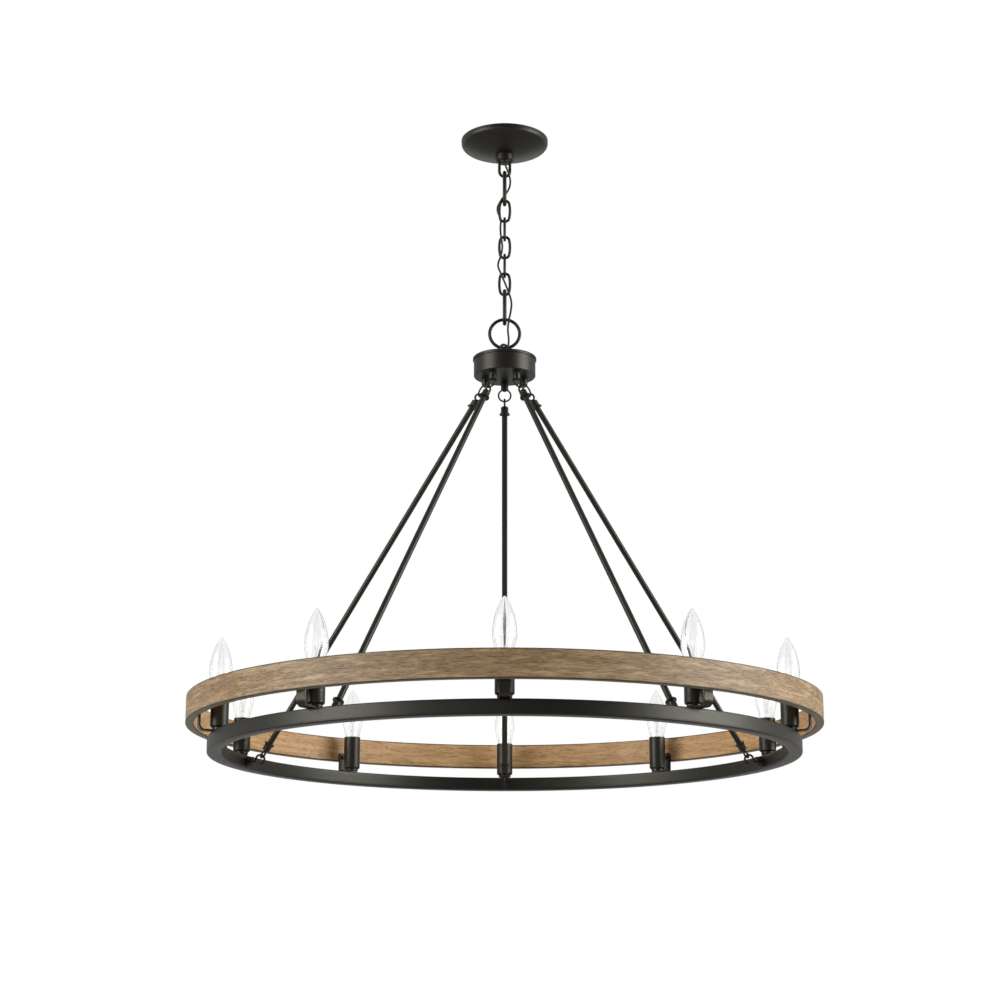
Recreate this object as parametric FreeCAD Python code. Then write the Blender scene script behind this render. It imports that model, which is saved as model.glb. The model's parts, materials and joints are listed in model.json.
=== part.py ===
"""Wagon wheel chandelier: ten candle lights on an iron hoop inside a wood hoop, hung on a lamp chain.

Millimetres, +Z up. The origin is on the ceiling plane, on the centre line of the chain.
Seen from -Y, +X is on the right. Azimuths are degrees from +X, turning towards +Y.
Levels are heights above the ceiling plane, so nearly all of them are negative.
"""
import FreeCAD, Part
import math
import os

Vector = FreeCAD.Vector
ORIGIN = Vector(0, 0, 0)
X_AXIS = Vector(1, 0, 0)
Y_AXIS = Vector(0, 1, 0)
Z_AXIS = Vector(0, 0, 1)

# Clearances between pieces that fit together
LINK_GAP = 0.3  # between two wires that hang square across each other
HUB_LOOP_GAP = 0.6  # between the hanging ring and the hub's bow, which stands at 45 degrees to it
HOOK_GAP = 0.5  # between a rod's lower eye and its hook
THREAD_GAP = 0.05  # radial, between a screw thread and its hole
SOCKET_GAP = 0.05  # radial, between a bulb's base and its socket
SLIP_GAP = 0.1  # radial, between a cover and what it slips over
PASS_GAP = 0.6  # radial, between the canopy's hole and the loop's barrel
CUT_PAST = 5.0  # how far a cutting solid reaches past the face that it opens

# Ceiling fixing
CROSSBAR_LENGTH = 110.0
CROSSBAR_WIDTH = 20.0
CROSSBAR_THICKNESS = 2.0
BOX_SCREW_SPACING = 88.9
SLOT_RADIUS = 2.25
SLOT_LENGTH = 16.0
PIPE_RADIUS = 4.8  # threaded lamp pipe, used at the ceiling and under each candle
PIPE_BORE_RADIUS = 3.2
PIPE_ABOVE_CEILING = 8.0
PIPE_NUT_FLATS = 14.0
PIPE_NUT_HEIGHT = 3.5
GROUND_SCREW_X = 24.0
GROUND_SCREW_RADIUS = 2.0
GROUND_SCREW_LENGTH = 7.0

# Pan-headed screws
SCREW_HEAD_TO_SHANK = 2.2  # head radius over shank radius
SCREW_HEAD_HEIGHT = 2.2

# Canopy
CANOPY_RADIUS = 67.0
CANOPY_DEPTH = 25.0
CANOPY_DOME_RADIUS = 149.6
CANOPY_SHOULDER_RADIUS = 7.0
CANOPY_WALL = 1.0
COLLAR_HEIGHT = 9.0
COLLAR_WALL = 2.95
COLLAR_EDGE_RADIUS = 1.4

# Threaded loop that carries the chain
BARREL_RADIUS = 11.0
BARREL_LENGTH = 20.0
BARREL_BELOW_CANOPY = 11.0
BARREL_THREAD_DEPTH = 14.0
BARREL_CORD_HOLE_RADIUS = 3.0
LOOP_WIRE_RADIUS = 2.25
LOOP_BEND_RADIUS = 8.1
LOOP_LIMB_LENGTH = 15.05

# Chain: one large link at each end, and smaller ones between
LINK_COUNT = 7
LINK_WIRE_RADIUS = 2.1
LINK_LENGTH = 38.5
LINK_WIDTH = 20.5
LINK_BEND_RADIUS = 6.6
END_LINK_WIRE_RADIUS = 3.0
END_LINK_LENGTH = 57.0
END_LINK_WIDTH = 27.0
END_LINK_BEND_RADIUS = 8.5
LINK_SEAT_LENGTH = 1.0  # straight run in the middle of each end, where the next link rocks
HANGING_RING_RADIUS = 22.7
HANGING_RING_WIRE_RADIUS = 2.5

# Hub
HUB_LOOP_WIRE_RADIUS = 2.0
HUB_LOOP_BEND_RADIUS = 9.3
HUB_LOOP_LIMB_LENGTH = 7.9
HUB_LOOP_AZIMUTH = 45.0
HUB_LOOP_DISC_RADIUS = 11.0
HUB_LOOP_DISC_THICKNESS = 3.5
HUB_STEM_RADIUS = 5.0
HUB_STEM_BORE_RADIUS = 3.2
HUB_LID_RADIUS = 48.0
HUB_LID_DEPTH = 4.5
HUB_LID_PLATE = 1.5
HUB_LID_SKIRT = 1.4
HUB_LID_EDGE_RADIUS = 2.0
HUB_BODY_HEIGHT = 28.5
HUB_BODY_WALL = 1.5
HUB_BODY_FLOOR = 2.0
HUB_BODY_EDGE_RADIUS = 1.5
BRIDGE_DROP = 5.0  # from the underside of the lid to the top of the bridge
BRIDGE_WIDTH = 16.0
BRIDGE_THICKNESS = 2.0
STEM_NUT_FLATS = 15.0
STEM_NUT_HEIGHT = 4.0

# Studs under the hub, and the rings in them
ROD_COUNT = 5
FIRST_ROD_AZIMUTH = 90.0
STUD_CIRCLE_RADIUS = 30.45
STUD_RADIUS = 5.75
STUD_NECK_LENGTH = 8.5
STUD_SHANK_RADIUS = 3.0
STUD_SHANK_LENGTH = 8.0
STUD_NUT_FLATS = 10.0
STUD_NUT_HEIGHT = 4.0
STUD_HOLE_DROP = 2.35  # from the centre of the stud's round end to the ring's hole
HUB_RING_RADIUS = 9.3
HUB_RING_WIRE_RADIUS = 1.3

# Wire connectors inside the hub
CONNECTOR_COUNT = 3
CONNECTOR_RADIUS = 3.3
CONNECTOR_TIP_RADIUS = 2.0
CONNECTOR_LENGTH = 10.0
CONNECTOR_CIRCLE_RADIUS = 4.0

# Wood hoop
WHEEL_DROP = 496.5  # from the hub's underside down to the top edge of the wood
WOOD_OUTER_RADIUS = 457.0
WOOD_THICKNESS = 12.0
WOOD_HEIGHT = 38.0
WOOD_EDGE_RADIUS = 0.8

# Iron hoop, a hollow square tube
HOOP_TO_WOOD = 19.2  # from the iron hoop out to the wood's inner face
HOOP_SECTION = 20.0
HOOP_WALL = 1.5
HOOP_CORNER_RADIUS = 1.5
HOOP_BELOW_WOOD = 20.5

# Rods and their ends
ROD_RADIUS = 4.25
ROD_WALL = 1.2
EYE_RADIUS = 5.2
EYE_WIRE_RADIUS = 1.5
EYE_SHANK_RADIUS = 2.0
EYE_TO_COUPLING = 6.2
COUPLING_LENGTH = 14.0
COUPLING_RADIUS = 5.75
COUPLING_NOSE_RADIUS = 3.8
COUPLING_NOSE_LENGTH = 1.5
COUPLING_FLARE_RADIUS = 8.0
COUPLING_FLARE_START = 9.0
COUPLING_FLARE_LENGTH = 3.0
COUPLING_RIM_LENGTH = 1.0
COUPLING_SHANK_DEPTH = 7.0
COUPLING_ROD_DEPTH = 5.0

# Hooks on the iron hoop
HOOK_RADIUS = 7.0
HOOK_WIRE_RADIUS = 1.6
HOOK_END_ANGLE = 255.0
HOOK_OFFSET_BEND_RADIUS = 3.0
HOOK_SHANK_SHOWN = 1.0
HOOK_SHANK_PAST_WALL = 2.0
BOSS_RADIUS = 7.5
BOSS_LENGTH = 10.0

# Brackets between the two hoops
CANDLE_COUNT = 10
FIRST_CANDLE_AZIMUTH = 90.0
BRACKET_WIDTH = 14.0
BRACKET_THICKNESS = 2.0
BRACKET_BEND_RADIUS = 7.0
BRACKET_BEHIND_CANDLE = 7.8
BRACKET_UPRIGHT_ON_WOOD = 13.0
BRACKET_CORNER_RADIUS = 3.0
BRACKET_SCREW_RADIUS = 1.5
BRACKET_SCREW_LENGTH = 9.0

# Candles
NECK_RADIUS = 9.75
NECK_HEIGHT = 3.5
SLEEVE_RADIUS = 12.7
SLEEVE_HEIGHT = 50.5
SLEEVE_WALL = 1.0
SLEEVE_EDGE_RADIUS = 2.5
SOCKET_RADIUS = 9.0
SOCKET_BELOW_SLEEVE = 4.0
SOCKET_DEPTH = 20.3
PIPE_IN_SOCKET = 6.0
CANDLE_NUT_FLATS = 13.0
CANDLE_NUT_HEIGHT = 2.5
PIPE_PAST_NUT = 1.0

# Bulbs
BULB_BASE_RADIUS = 6.0
BULB_BASE_LENGTH = 18.3
BULB_BASE_WALL = 0.5
BULB_BASE_ABOVE_SOCKET = 0.5
CONTACT_RADIUS = 2.2
CONTACT_HEIGHT = 1.8
GLASS_RADIUS = 15.875
GLASS_ABOVE_SLEEVE = 76.2
GLASS_BELLY_HEIGHT = 27.0  # above the sleeve's rim
GLASS_LOWER_BEND_RADIUS = 30.0
GLASS_TAPER_ANGLE = 13.0
GLASS_TIP_RADIUS = 2.5
GLASS_SHOULDER_DROP = 1.0  # below the sleeve's rim
GLASS_NECK_TOP_DROP = 3.4
GLASS_NECK_LENGTH = 6.0
GLASS_WALL = 0.8
GLASS_STEM_RADIUS = 2.2
GLASS_STEM_HEIGHT = 20.0
GLASS_FLARE_THICKNESS = 1.0

# Wiring
HARNESS_RADIUS = 2.5
HARNESS_LEAD_RADIUS = 1.6
CORD_RADIUS = 1.5
CORD_BEND_SHARE = 0.45
CORD_POINTS = [
    (0.0, 0.0, 6.0),
    (0.5, -0.3, -8.0),
    (-0.4, 0.3, -23.0),
    (0.0, -0.4, -37.0),
    (2.6, -5.4, -46.5),
    (6.4, -7.8, -57.5),
    (9.4, -5.2, -70.0),
    (6.8, -2.6, -82.0),
    (-5.6, -5.2, -100.0),
    (-13.0, -5.6, -115.5),
    (-5.4, -5.4, -131.5),
    (-6.8, -4.4, -146.0),
    (-5.6, -5.4, -161.0),
    (-3.0, -6.4, -176.0),
    (-5.2, -5.4, -191.0),
    (-11.6, -4.4, -206.0),
    (-5.4, -5.4, -221.0),
    (0.6, -6.4, -236.0),
    (6.2, -5.6, -250.5),
    (11.0, -4.4, -266.0),
    (9.4, -4.6, -281.0),
    (6.2, -6.4, -296.0),
    (4.4, -8.2, -312.0),
    (6.6, -8.0, -327.0),
    (5.0, -5.4, -340.0),
    (0.1, -0.2, -350.5),
    (0.0, 0.0, -361.0),
    (0.0, 0.0, -371.0),
]

# Levels, worked out from the ceiling down
barrel_bottom = -CANOPY_DEPTH - BARREL_BELOW_CANOPY
barrel_top = barrel_bottom + BARREL_LENGTH
loop_bend_level = barrel_bottom - LOOP_LIMB_LENGTH
loop_bottom = loop_bend_level - LOOP_BEND_RADIUS


def turned(shape, degrees, axis=Z_AXIS, about=ORIGIN):
    """A copy of the shape, turned."""
    copy = shape.copy()
    copy.rotate(about, axis, degrees)
    return copy


def moved(shape, x, y, z):
    """A copy of the shape, moved."""
    copy = shape.copy()
    copy.translate(Vector(x, y, z))
    return copy


def around(shape, count, first_azimuth):
    """Copies of a shape made at azimuth 0, spaced evenly about the centre line."""
    return [turned(shape, first_azimuth + 360.0 * index / count) for index in range(count)]


def united(solids):
    """One solid out of solids that meet."""
    joined = solids[0].multiFuse(solids[1:]) if len(solids) > 1 else solids[0]
    return joined.Solids[0]


def cylinder(radius, bottom, top, x=0.0, y=0.0):
    """An upright cylinder between two levels."""
    return Part.makeCylinder(radius, top - bottom, Vector(x, y, bottom))


def ring(radius, wire_radius, centre, axis):
    """A closed ring of round wire."""
    return Part.makeTorus(radius, wire_radius, centre, axis)


def hexagon(across_flats, bottom, top):
    """An upright hexagonal prism on the centre line."""
    corner_radius = across_flats / 2 / math.cos(math.radians(30))
    corners = []
    for index in range(7):
        angle = math.radians(60 * index)
        corners.append(Vector(corner_radius * math.cos(angle), corner_radius * math.sin(angle), bottom))
    return Part.Face(Part.makePolygon(corners)).extrude(Vector(0, 0, top - bottom))


def nut(across_flats, hole_radius, bottom, top):
    """A hexagonal nut with its corners rounded off and its hole on the centre line."""
    body = hexagon(across_flats, bottom, top)
    across_corners = across_flats / math.cos(math.radians(30))
    chamfer = (across_corners - across_flats) / 2
    blunt = cylinder(across_corners / 2, bottom, top)
    blunt = blunt.makeChamfer(chamfer * 0.6, [edge for edge in blunt.Edges if edge.Closed])
    return body.common(blunt).cut(cylinder(hole_radius, bottom - CUT_PAST, top + CUT_PAST)).Solids[0]


def corner_arc(before, corner, after, radius):
    """The arc edge that rounds a corner, with its two tangent points."""
    inwards = (before - corner).normalize()
    onwards = (after - corner).normalize()
    half_angle = inwards.getAngle(onwards) / 2
    reach = radius / math.tan(half_angle)
    start = corner + inwards * reach
    end = corner + onwards * reach
    middle_line = (inwards + onwards).normalize()
    middle = corner + middle_line * (radius / math.sin(half_angle) - radius)
    return Part.Arc(start, middle, end).toShape(), start, end


def rounded_path(points, radii):
    """Edges of straight runs through the points, with an arc of each inner point's radius."""
    edges = []
    last = points[0]
    for index in range(1, len(points) - 1):
        arc, start, end = corner_arc(points[index - 1], points[index], points[index + 1], radii[index])
        edges.append(Part.LineSegment(last, start).toShape())
        edges.append(arc)
        last = end
    edges.append(Part.LineSegment(last, points[-1]).toShape())
    return edges


def rounded_outline(corners):
    """A face in the XZ plane from (x, z, radius) corners, in order round it."""
    points = [Vector(x, 0, z) for x, z, radius in corners]
    edges = []
    ends = []
    for index, (x, z, radius) in enumerate(corners):
        if radius:
            arc, start, end = corner_arc(points[index - 1], points[index], points[(index + 1) % len(points)], radius)
            edges.append(arc)
            ends.append((start, end))
        else:
            ends.append((points[index], points[index]))
    for index, (start, end) in enumerate(ends):
        following = ends[(index + 1) % len(ends)][0]
        if end.distanceToPoint(following) > 1e-6:
            edges.append(Part.LineSegment(end, following).toShape())
    return Part.Face(Part.Wire(Part.__sortEdges__(edges)))


def revolved(face):
    """A solid of revolution about the centre line, from a face in the XZ plane."""
    return face.revolve(ORIGIN, Z_AXIS, 360)


def round_bar(edges, radius):
    """One solid of round bar along edges that run on smoothly from each other."""
    pieces = []
    for edge in edges:
        start = edge.valueAt(edge.FirstParameter)
        along = edge.tangentAt(edge.FirstParameter)
        section = Part.Face(Part.Wire(Part.Circle(start, along, radius).toShape()))
        if isinstance(edge.Curve, Part.Circle):
            sweep = math.degrees(edge.Length / edge.Curve.Radius)
            pieces.append(section.revolve(edge.Curve.Center, edge.Curve.Axis, sweep))
        else:
            pieces.append(section.extrude(along * edge.Length))
    return united(pieces)


def arc_edge(centre, radius, start_angle, end_angle):
    """An arc in the XZ plane about a (x, z) centre, by angles in degrees."""
    points = []
    for angle in (start_angle, (start_angle + end_angle) / 2, end_angle):
        turn = math.radians(angle)
        points.append(Vector(centre[0] + radius * math.cos(turn), 0, centre[1] + radius * math.sin(turn)))
    return Part.Arc(*points).toShape()


def line_edge(start, end):
    """A straight edge in the XZ plane between two (x, z) points."""
    return Part.LineSegment(Vector(start[0], 0, start[1]), Vector(end[0], 0, end[1])).toShape()


def end_point(edge):
    """Where an edge ends, as (x, z)."""
    point = edge.valueAt(edge.LastParameter)
    return point.x, point.z


def start_point(edge):
    """Where an edge starts, as (x, z)."""
    point = edge.valueAt(edge.FirstParameter)
    return point.x, point.z


def pan_screw(shank_radius, shank_length):
    """A pan-headed screw: its head sits on z = 0 and its shank points down."""
    head_radius = shank_radius * SCREW_HEAD_TO_SHANK
    head = cylinder(head_radius, 0, SCREW_HEAD_HEIGHT)
    crown = [edge for edge in head.Edges if edge.Closed and edge.CenterOfMass.z > SCREW_HEAD_HEIGHT / 2]
    head = head.makeFillet(SCREW_HEAD_HEIGHT * 0.6, crown)
    recess_length = head_radius * 1.1
    recess_width = head_radius * 0.28
    for angle in (0, 90):
        bar = Part.makeBox(recess_length, recess_width, SCREW_HEAD_HEIGHT / 2)
        bar.translate(Vector(-recess_length / 2, -recess_width / 2, SCREW_HEAD_HEIGHT * 0.6))
        head = head.cut(turned(bar, angle))
    return united([head, cylinder(shank_radius, -shank_length, 0)])


def place_on_line(shape, start, direction):
    """A copy of a shape made along +Z from the origin, laid along a direction from a start."""
    copy = shape.copy()
    copy.Placement = FreeCAD.Placement(start, FreeCAD.Rotation(Z_AXIS, direction)).multiply(copy.Placement)
    return copy


# Ceiling fixing

def slot(x):
    """The solid that cuts one screw slot in the crossbar."""
    half_run = SLOT_LENGTH / 2 - SLOT_RADIUS
    bottom = -CROSSBAR_THICKNESS - CUT_PAST
    ends = [cylinder(SLOT_RADIUS, bottom, CUT_PAST, x + side * half_run) for side in (-1, 1)]
    middle = Part.makeBox(2 * half_run, 2 * SLOT_RADIUS, CUT_PAST - bottom, Vector(x - half_run, -SLOT_RADIUS, bottom))
    return united([*ends, middle])


def make_crossbar():
    """The steel bar on the ceiling box, with a slot for each box screw."""
    bar = Part.makeBox(CROSSBAR_LENGTH, CROSSBAR_WIDTH, CROSSBAR_THICKNESS)
    bar.translate(Vector(-CROSSBAR_LENGTH / 2, -CROSSBAR_WIDTH / 2, -CROSSBAR_THICKNESS))
    upright = [edge for edge in bar.Edges if abs(edge.tangentAt(edge.FirstParameter).z) > 0.9]
    bar = bar.makeFillet(CROSSBAR_WIDTH * 0.2, upright)
    for side in (-1, 1):
        bar = bar.cut(slot(side * BOX_SCREW_SPACING / 2))
    for x, radius in ((0, PIPE_RADIUS), (GROUND_SCREW_X, GROUND_SCREW_RADIUS)):
        bar = bar.cut(cylinder(radius + THREAD_GAP, -CROSSBAR_THICKNESS - CUT_PAST, CUT_PAST, x))
    return [bar.Solids[0]]


def make_ground_screw():
    """The green earth screw in the crossbar, its head on the underside."""
    screw = pan_screw(GROUND_SCREW_RADIUS, GROUND_SCREW_LENGTH)
    return [moved(turned(screw, 180, X_AXIS), GROUND_SCREW_X, 0, -CROSSBAR_THICKNESS)]


def make_mounting_nipple():
    """The threaded pipe through the crossbar into the loop's barrel."""
    bottom = barrel_top - BARREL_THREAD_DEPTH
    pipe = cylinder(PIPE_RADIUS, bottom, PIPE_ABOVE_CEILING)
    return [pipe.cut(cylinder(PIPE_BORE_RADIUS, bottom - CUT_PAST, PIPE_ABOVE_CEILING + CUT_PAST))]


def make_nipple_nuts():
    """The nuts that lock the pipe on both sides of the crossbar."""
    hole = PIPE_RADIUS + THREAD_GAP
    upper = nut(PIPE_NUT_FLATS, hole, 0, PIPE_NUT_HEIGHT)
    lower = nut(PIPE_NUT_FLATS, hole, -CROSSBAR_THICKNESS - PIPE_NUT_HEIGHT, -CROSSBAR_THICKNESS)
    return [upper, lower]


# Canopy

def canopy_curves(inset, hole_radius):
    """The edges of the canopy's section from its centre hole to its rim, moved in by an inset."""
    dome_centre = (0, CANOPY_DOME_RADIUS - CANOPY_DEPTH)
    shoulder_x = CANOPY_RADIUS - CANOPY_SHOULDER_RADIUS
    shoulder_reach = CANOPY_DOME_RADIUS - CANOPY_SHOULDER_RADIUS
    shoulder_drop = math.sqrt(shoulder_reach**2 - shoulder_x**2)
    shoulder_centre = (shoulder_x, dome_centre[1] - shoulder_drop)
    meeting_angle = -math.degrees(math.atan2(shoulder_drop, shoulder_x))
    dome_radius = CANOPY_DOME_RADIUS - inset
    hole_angle = -math.degrees(math.acos(hole_radius / dome_radius))
    dome = arc_edge(dome_centre, dome_radius, hole_angle, meeting_angle)
    shoulder = arc_edge(shoulder_centre, CANOPY_SHOULDER_RADIUS - inset, meeting_angle, 0)
    rim = line_edge(end_point(shoulder), (CANOPY_RADIUS - inset, 0))
    return [dome, shoulder, rim]


def make_canopy():
    """The round pressed-steel cover on the ceiling."""
    hole_radius = BARREL_RADIUS + PASS_GAP
    outer = canopy_curves(0, hole_radius)
    inner = canopy_curves(CANOPY_WALL, hole_radius)
    top = line_edge(end_point(outer[-1]), end_point(inner[-1]))
    hole_edge = line_edge(start_point(outer[0]), start_point(inner[0]))
    section = Part.Face(Part.Wire(Part.__sortEdges__([*outer, *inner, top, hole_edge])))
    return [revolved(section)]


def make_collar_ring():
    """The threaded ring that holds the canopy up on the barrel."""
    inner = BARREL_RADIUS + THREAD_GAP
    outer = inner + COLLAR_WALL
    bottom = -CANOPY_DEPTH - COLLAR_HEIGHT
    band = revolved(rounded_outline([
        (inner, 0, 0),
        (inner, bottom, 0),
        (outer, bottom, COLLAR_EDGE_RADIUS),
        (outer, 0, 0),
    ]))
    dome = Part.makeSphere(CANOPY_DOME_RADIUS, Vector(0, 0, CANOPY_DOME_RADIUS - CANOPY_DEPTH))
    return [band.cut(dome).Solids[0]]


def make_canopy_loop():
    """The loop that screws on the pipe: its barrel takes the collar, its bow takes the chain."""
    barrel = cylinder(BARREL_RADIUS, barrel_bottom, barrel_top)
    side = LOOP_BEND_RADIUS
    bend = arc_edge((0, loop_bend_level), LOOP_BEND_RADIUS, 180, 360)
    sunk = barrel_bottom + LOOP_WIRE_RADIUS
    bow = round_bar([
        line_edge((-side, sunk), (-side, loop_bend_level)),
        bend,
        line_edge((side, loop_bend_level), (side, sunk)),
    ], LOOP_WIRE_RADIUS)
    body = united([barrel, bow])
    thread_bottom = barrel_top - BARREL_THREAD_DEPTH
    body = body.cut(cylinder(PIPE_RADIUS + THREAD_GAP, thread_bottom, barrel_top + CUT_PAST))
    return [body.cut(cylinder(BARREL_CORD_HOLE_RADIUS, barrel_bottom - CUT_PAST, barrel_top)).Solids[0]]


# Chain

def link_sizes(number):
    """A link's wire radius, length, width and bend radius, by its number from the top."""
    if number in (1, LINK_COUNT):
        return END_LINK_WIRE_RADIUS, END_LINK_LENGTH, END_LINK_WIDTH, END_LINK_BEND_RADIUS
    return LINK_WIRE_RADIUS, LINK_LENGTH, LINK_WIDTH, LINK_BEND_RADIUS


def link_levels():
    """The (top, bottom) levels of each link's wire centre, from the top link down."""
    levels = []
    carrier_bottom = loop_bottom
    carrier_wire = LOOP_WIRE_RADIUS
    for number in range(1, LINK_COUNT + 1):
        wire, length, width, bend = link_sizes(number)
        top = carrier_bottom + carrier_wire + LINK_GAP + wire
        carrier_bottom = top - (length - 2 * wire)
        carrier_wire = wire
        levels.append((top, carrier_bottom))
    return levels


def make_link(number):
    """One oval link of round wire, facing front where its number is even."""
    wire, length, width, bend = link_sizes(number)
    top, bottom = link_levels()[number - 1]
    middle = (top + bottom) / 2
    half_seat = LINK_SEAT_LENGTH / 2
    rise = (top - bottom) / 2 - bend
    reach = width / 2 - wire - half_seat
    side_radius = (reach**2 + rise**2 - bend**2) / (2 * (reach - bend))
    lean = math.degrees(math.atan2(rise, side_radius - reach))
    side_centre = side_radius - reach - half_seat
    edges = [
        arc_edge((-side_centre, middle), side_radius, -lean, lean),
        arc_edge((half_seat, middle + rise), bend, lean, 90),
        line_edge((half_seat, top), (-half_seat, top)),
        arc_edge((-half_seat, middle + rise), bend, 90, 180 - lean),
        arc_edge((side_centre, middle), side_radius, 180 - lean, 180 + lean),
        arc_edge((-half_seat, middle - rise), bend, 180 + lean, 270),
        line_edge((-half_seat, bottom), (half_seat, bottom)),
        arc_edge((half_seat, middle - rise), bend, 270, 360 - lean),
    ]
    link = round_bar(edges, wire)
    return [turned(link, 90) if number % 2 else link]


last_link_bottom = link_levels()[-1][1]
hanging_ring_top = last_link_bottom + END_LINK_WIRE_RADIUS + LINK_GAP + HANGING_RING_WIRE_RADIUS
hanging_ring_bottom = hanging_ring_top - 2 * HANGING_RING_RADIUS


def make_hanging_ring():
    """The round ring between the chain and the hub."""
    centre = Vector(0, 0, (hanging_ring_top + hanging_ring_bottom) / 2)
    return [ring(HANGING_RING_RADIUS, HANGING_RING_WIRE_RADIUS, centre, Y_AXIS)]


# Hub

hub_loop_top = hanging_ring_bottom + HANGING_RING_WIRE_RADIUS + HUB_LOOP_GAP + HUB_LOOP_WIRE_RADIUS
hub_loop_bend_level = hub_loop_top - HUB_LOOP_BEND_RADIUS
hub_disc_top = hub_loop_bend_level - HUB_LOOP_LIMB_LENGTH
lid_top = hub_disc_top - HUB_LOOP_DISC_THICKNESS
body_top = lid_top - HUB_LID_PLATE
hub_underside = body_top - HUB_BODY_HEIGHT
hub_floor_top = hub_underside + HUB_BODY_FLOOR
hub_body_radius = HUB_LID_RADIUS - HUB_LID_SKIRT - SLIP_GAP
bridge_top = body_top - BRIDGE_DROP
bridge_bottom = bridge_top - BRIDGE_THICKNESS
stem_bottom = bridge_bottom - STEM_NUT_HEIGHT


def make_hub_loop():
    """The closed bow on the hub's hollow stem, which the ring goes through."""
    side = HUB_LOOP_BEND_RADIUS
    sunk = hub_disc_top - HUB_LOOP_WIRE_RADIUS
    bow = round_bar([
        line_edge((-side, sunk), (-side, hub_loop_bend_level)),
        arc_edge((0, hub_loop_bend_level), HUB_LOOP_BEND_RADIUS, 180, 0),
        line_edge((side, hub_loop_bend_level), (side, sunk)),
    ], HUB_LOOP_WIRE_RADIUS)
    disc = cylinder(HUB_LOOP_DISC_RADIUS, lid_top, hub_disc_top)
    middle = (lid_top + hub_disc_top) / 2
    rims = [edge for edge in disc.Edges if edge.Closed and edge.CenterOfMass.z > middle]
    disc = disc.makeFillet(HUB_LOOP_DISC_THICKNESS * 0.3, rims)
    stem = cylinder(HUB_STEM_RADIUS, stem_bottom, lid_top)
    body = united([disc, stem, bow])
    body = body.cut(cylinder(HUB_STEM_BORE_RADIUS, stem_bottom - CUT_PAST, hub_disc_top + CUT_PAST))
    return [turned(body.Solids[0], HUB_LOOP_AZIMUTH)]


def make_hub_lid():
    """The shallow lid over the hub's wiring box."""
    skirt_bottom = lid_top - HUB_LID_DEPTH
    skirt_inner = HUB_LID_RADIUS - HUB_LID_SKIRT
    hole = HUB_STEM_RADIUS + SLIP_GAP
    section = rounded_outline([
        (hole, lid_top, 0),
        (HUB_LID_RADIUS, lid_top, HUB_LID_EDGE_RADIUS),
        (HUB_LID_RADIUS, skirt_bottom, 0),
        (skirt_inner, skirt_bottom, 0),
        (skirt_inner, body_top, 0),
        (hole, body_top, 0),
    ])
    return [revolved(section)]


def make_hub_body():
    """The round box under the lid, with a hole in its floor for each stud."""
    inner = hub_body_radius - HUB_BODY_WALL
    shell = revolved(rounded_outline([
        (0, hub_underside, 0),
        (hub_body_radius, hub_underside, HUB_BODY_EDGE_RADIUS),
        (hub_body_radius, body_top, 0),
        (inner, body_top, 0),
        (inner, hub_floor_top, 0),
        (0, hub_floor_top, 0),
    ]))
    hole = cylinder(
        STUD_SHANK_RADIUS + THREAD_GAP, hub_underside - CUT_PAST, hub_floor_top + CUT_PAST, STUD_CIRCLE_RADIUS
    )
    for cutter in around(hole, ROD_COUNT, FIRST_ROD_AZIMUTH):
        shell = shell.cut(cutter)
    return [shell.Solids[0]]


def make_hub_bridge():
    """The strap inside the hub that hangs the box on the stem."""
    reach = hub_body_radius - HUB_BODY_WALL
    strap = rounded_outline([
        (-reach, bridge_top, BRIDGE_THICKNESS * 1.5),
        (reach, bridge_top, BRIDGE_THICKNESS * 1.5),
        (reach, hub_floor_top, 0),
        (reach - BRIDGE_THICKNESS, hub_floor_top, 0),
        (reach - BRIDGE_THICKNESS, bridge_bottom, BRIDGE_THICKNESS / 2),
        (-reach + BRIDGE_THICKNESS, bridge_bottom, BRIDGE_THICKNESS / 2),
        (-reach + BRIDGE_THICKNESS, hub_floor_top, 0),
        (-reach, hub_floor_top, 0),
    ]).extrude(Y_AXIS * BRIDGE_WIDTH)
    strap = moved(strap, 0, -BRIDGE_WIDTH / 2, 0)
    strap = strap.common(cylinder(reach, hub_floor_top - CUT_PAST, bridge_top + CUT_PAST))
    hole = cylinder(HUB_STEM_RADIUS + SLIP_GAP, bridge_bottom - CUT_PAST, bridge_top + CUT_PAST)
    return [strap.cut(hole).Solids[0]]


# Studs, rings and the line of a rod, at azimuth 0

stud_ball_level = hub_underside - STUD_NECK_LENGTH
stud_hole = Vector(STUD_CIRCLE_RADIUS, 0, stud_ball_level - STUD_HOLE_DROP)
wood_top = hub_underside - WHEEL_DROP
wood_bottom = wood_top - WOOD_HEIGHT
wood_inner_radius = WOOD_OUTER_RADIUS - WOOD_THICKNESS
hoop_top = wood_bottom - HOOP_BELOW_WOOD
hoop_bottom = hoop_top - HOOP_SECTION
hoop_middle = (hoop_top + hoop_bottom) / 2
hoop_inner_radius = wood_inner_radius - HOOP_TO_WOOD - HOOP_SECTION
boss_face = hoop_inner_radius - BOSS_LENGTH
hook_centre = Vector(
    boss_face - HOOK_SHANK_SHOWN - HOOK_OFFSET_BEND_RADIUS - HOOK_RADIUS, 0, hoop_middle + HOOK_OFFSET_BEND_RADIUS
)
rod_direction = (hook_centre - stud_hole).normalize()
hub_ring_centre = stud_hole + rod_direction * HUB_RING_RADIUS
rod_pivot = stud_hole + rod_direction * (2 * HUB_RING_RADIUS)
hook_seat = hook_centre - rod_direction * HOOK_RADIUS
upper_eye_centre = rod_pivot + rod_direction * (EYE_RADIUS - EYE_WIRE_RADIUS - LINK_GAP - HUB_RING_WIRE_RADIUS)
lower_eye_centre = hook_seat - rod_direction * (EYE_RADIUS - EYE_WIRE_RADIUS - HOOK_GAP - HOOK_WIRE_RADIUS)
ring_plane_normal = rod_direction.cross(Y_AXIS)


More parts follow.
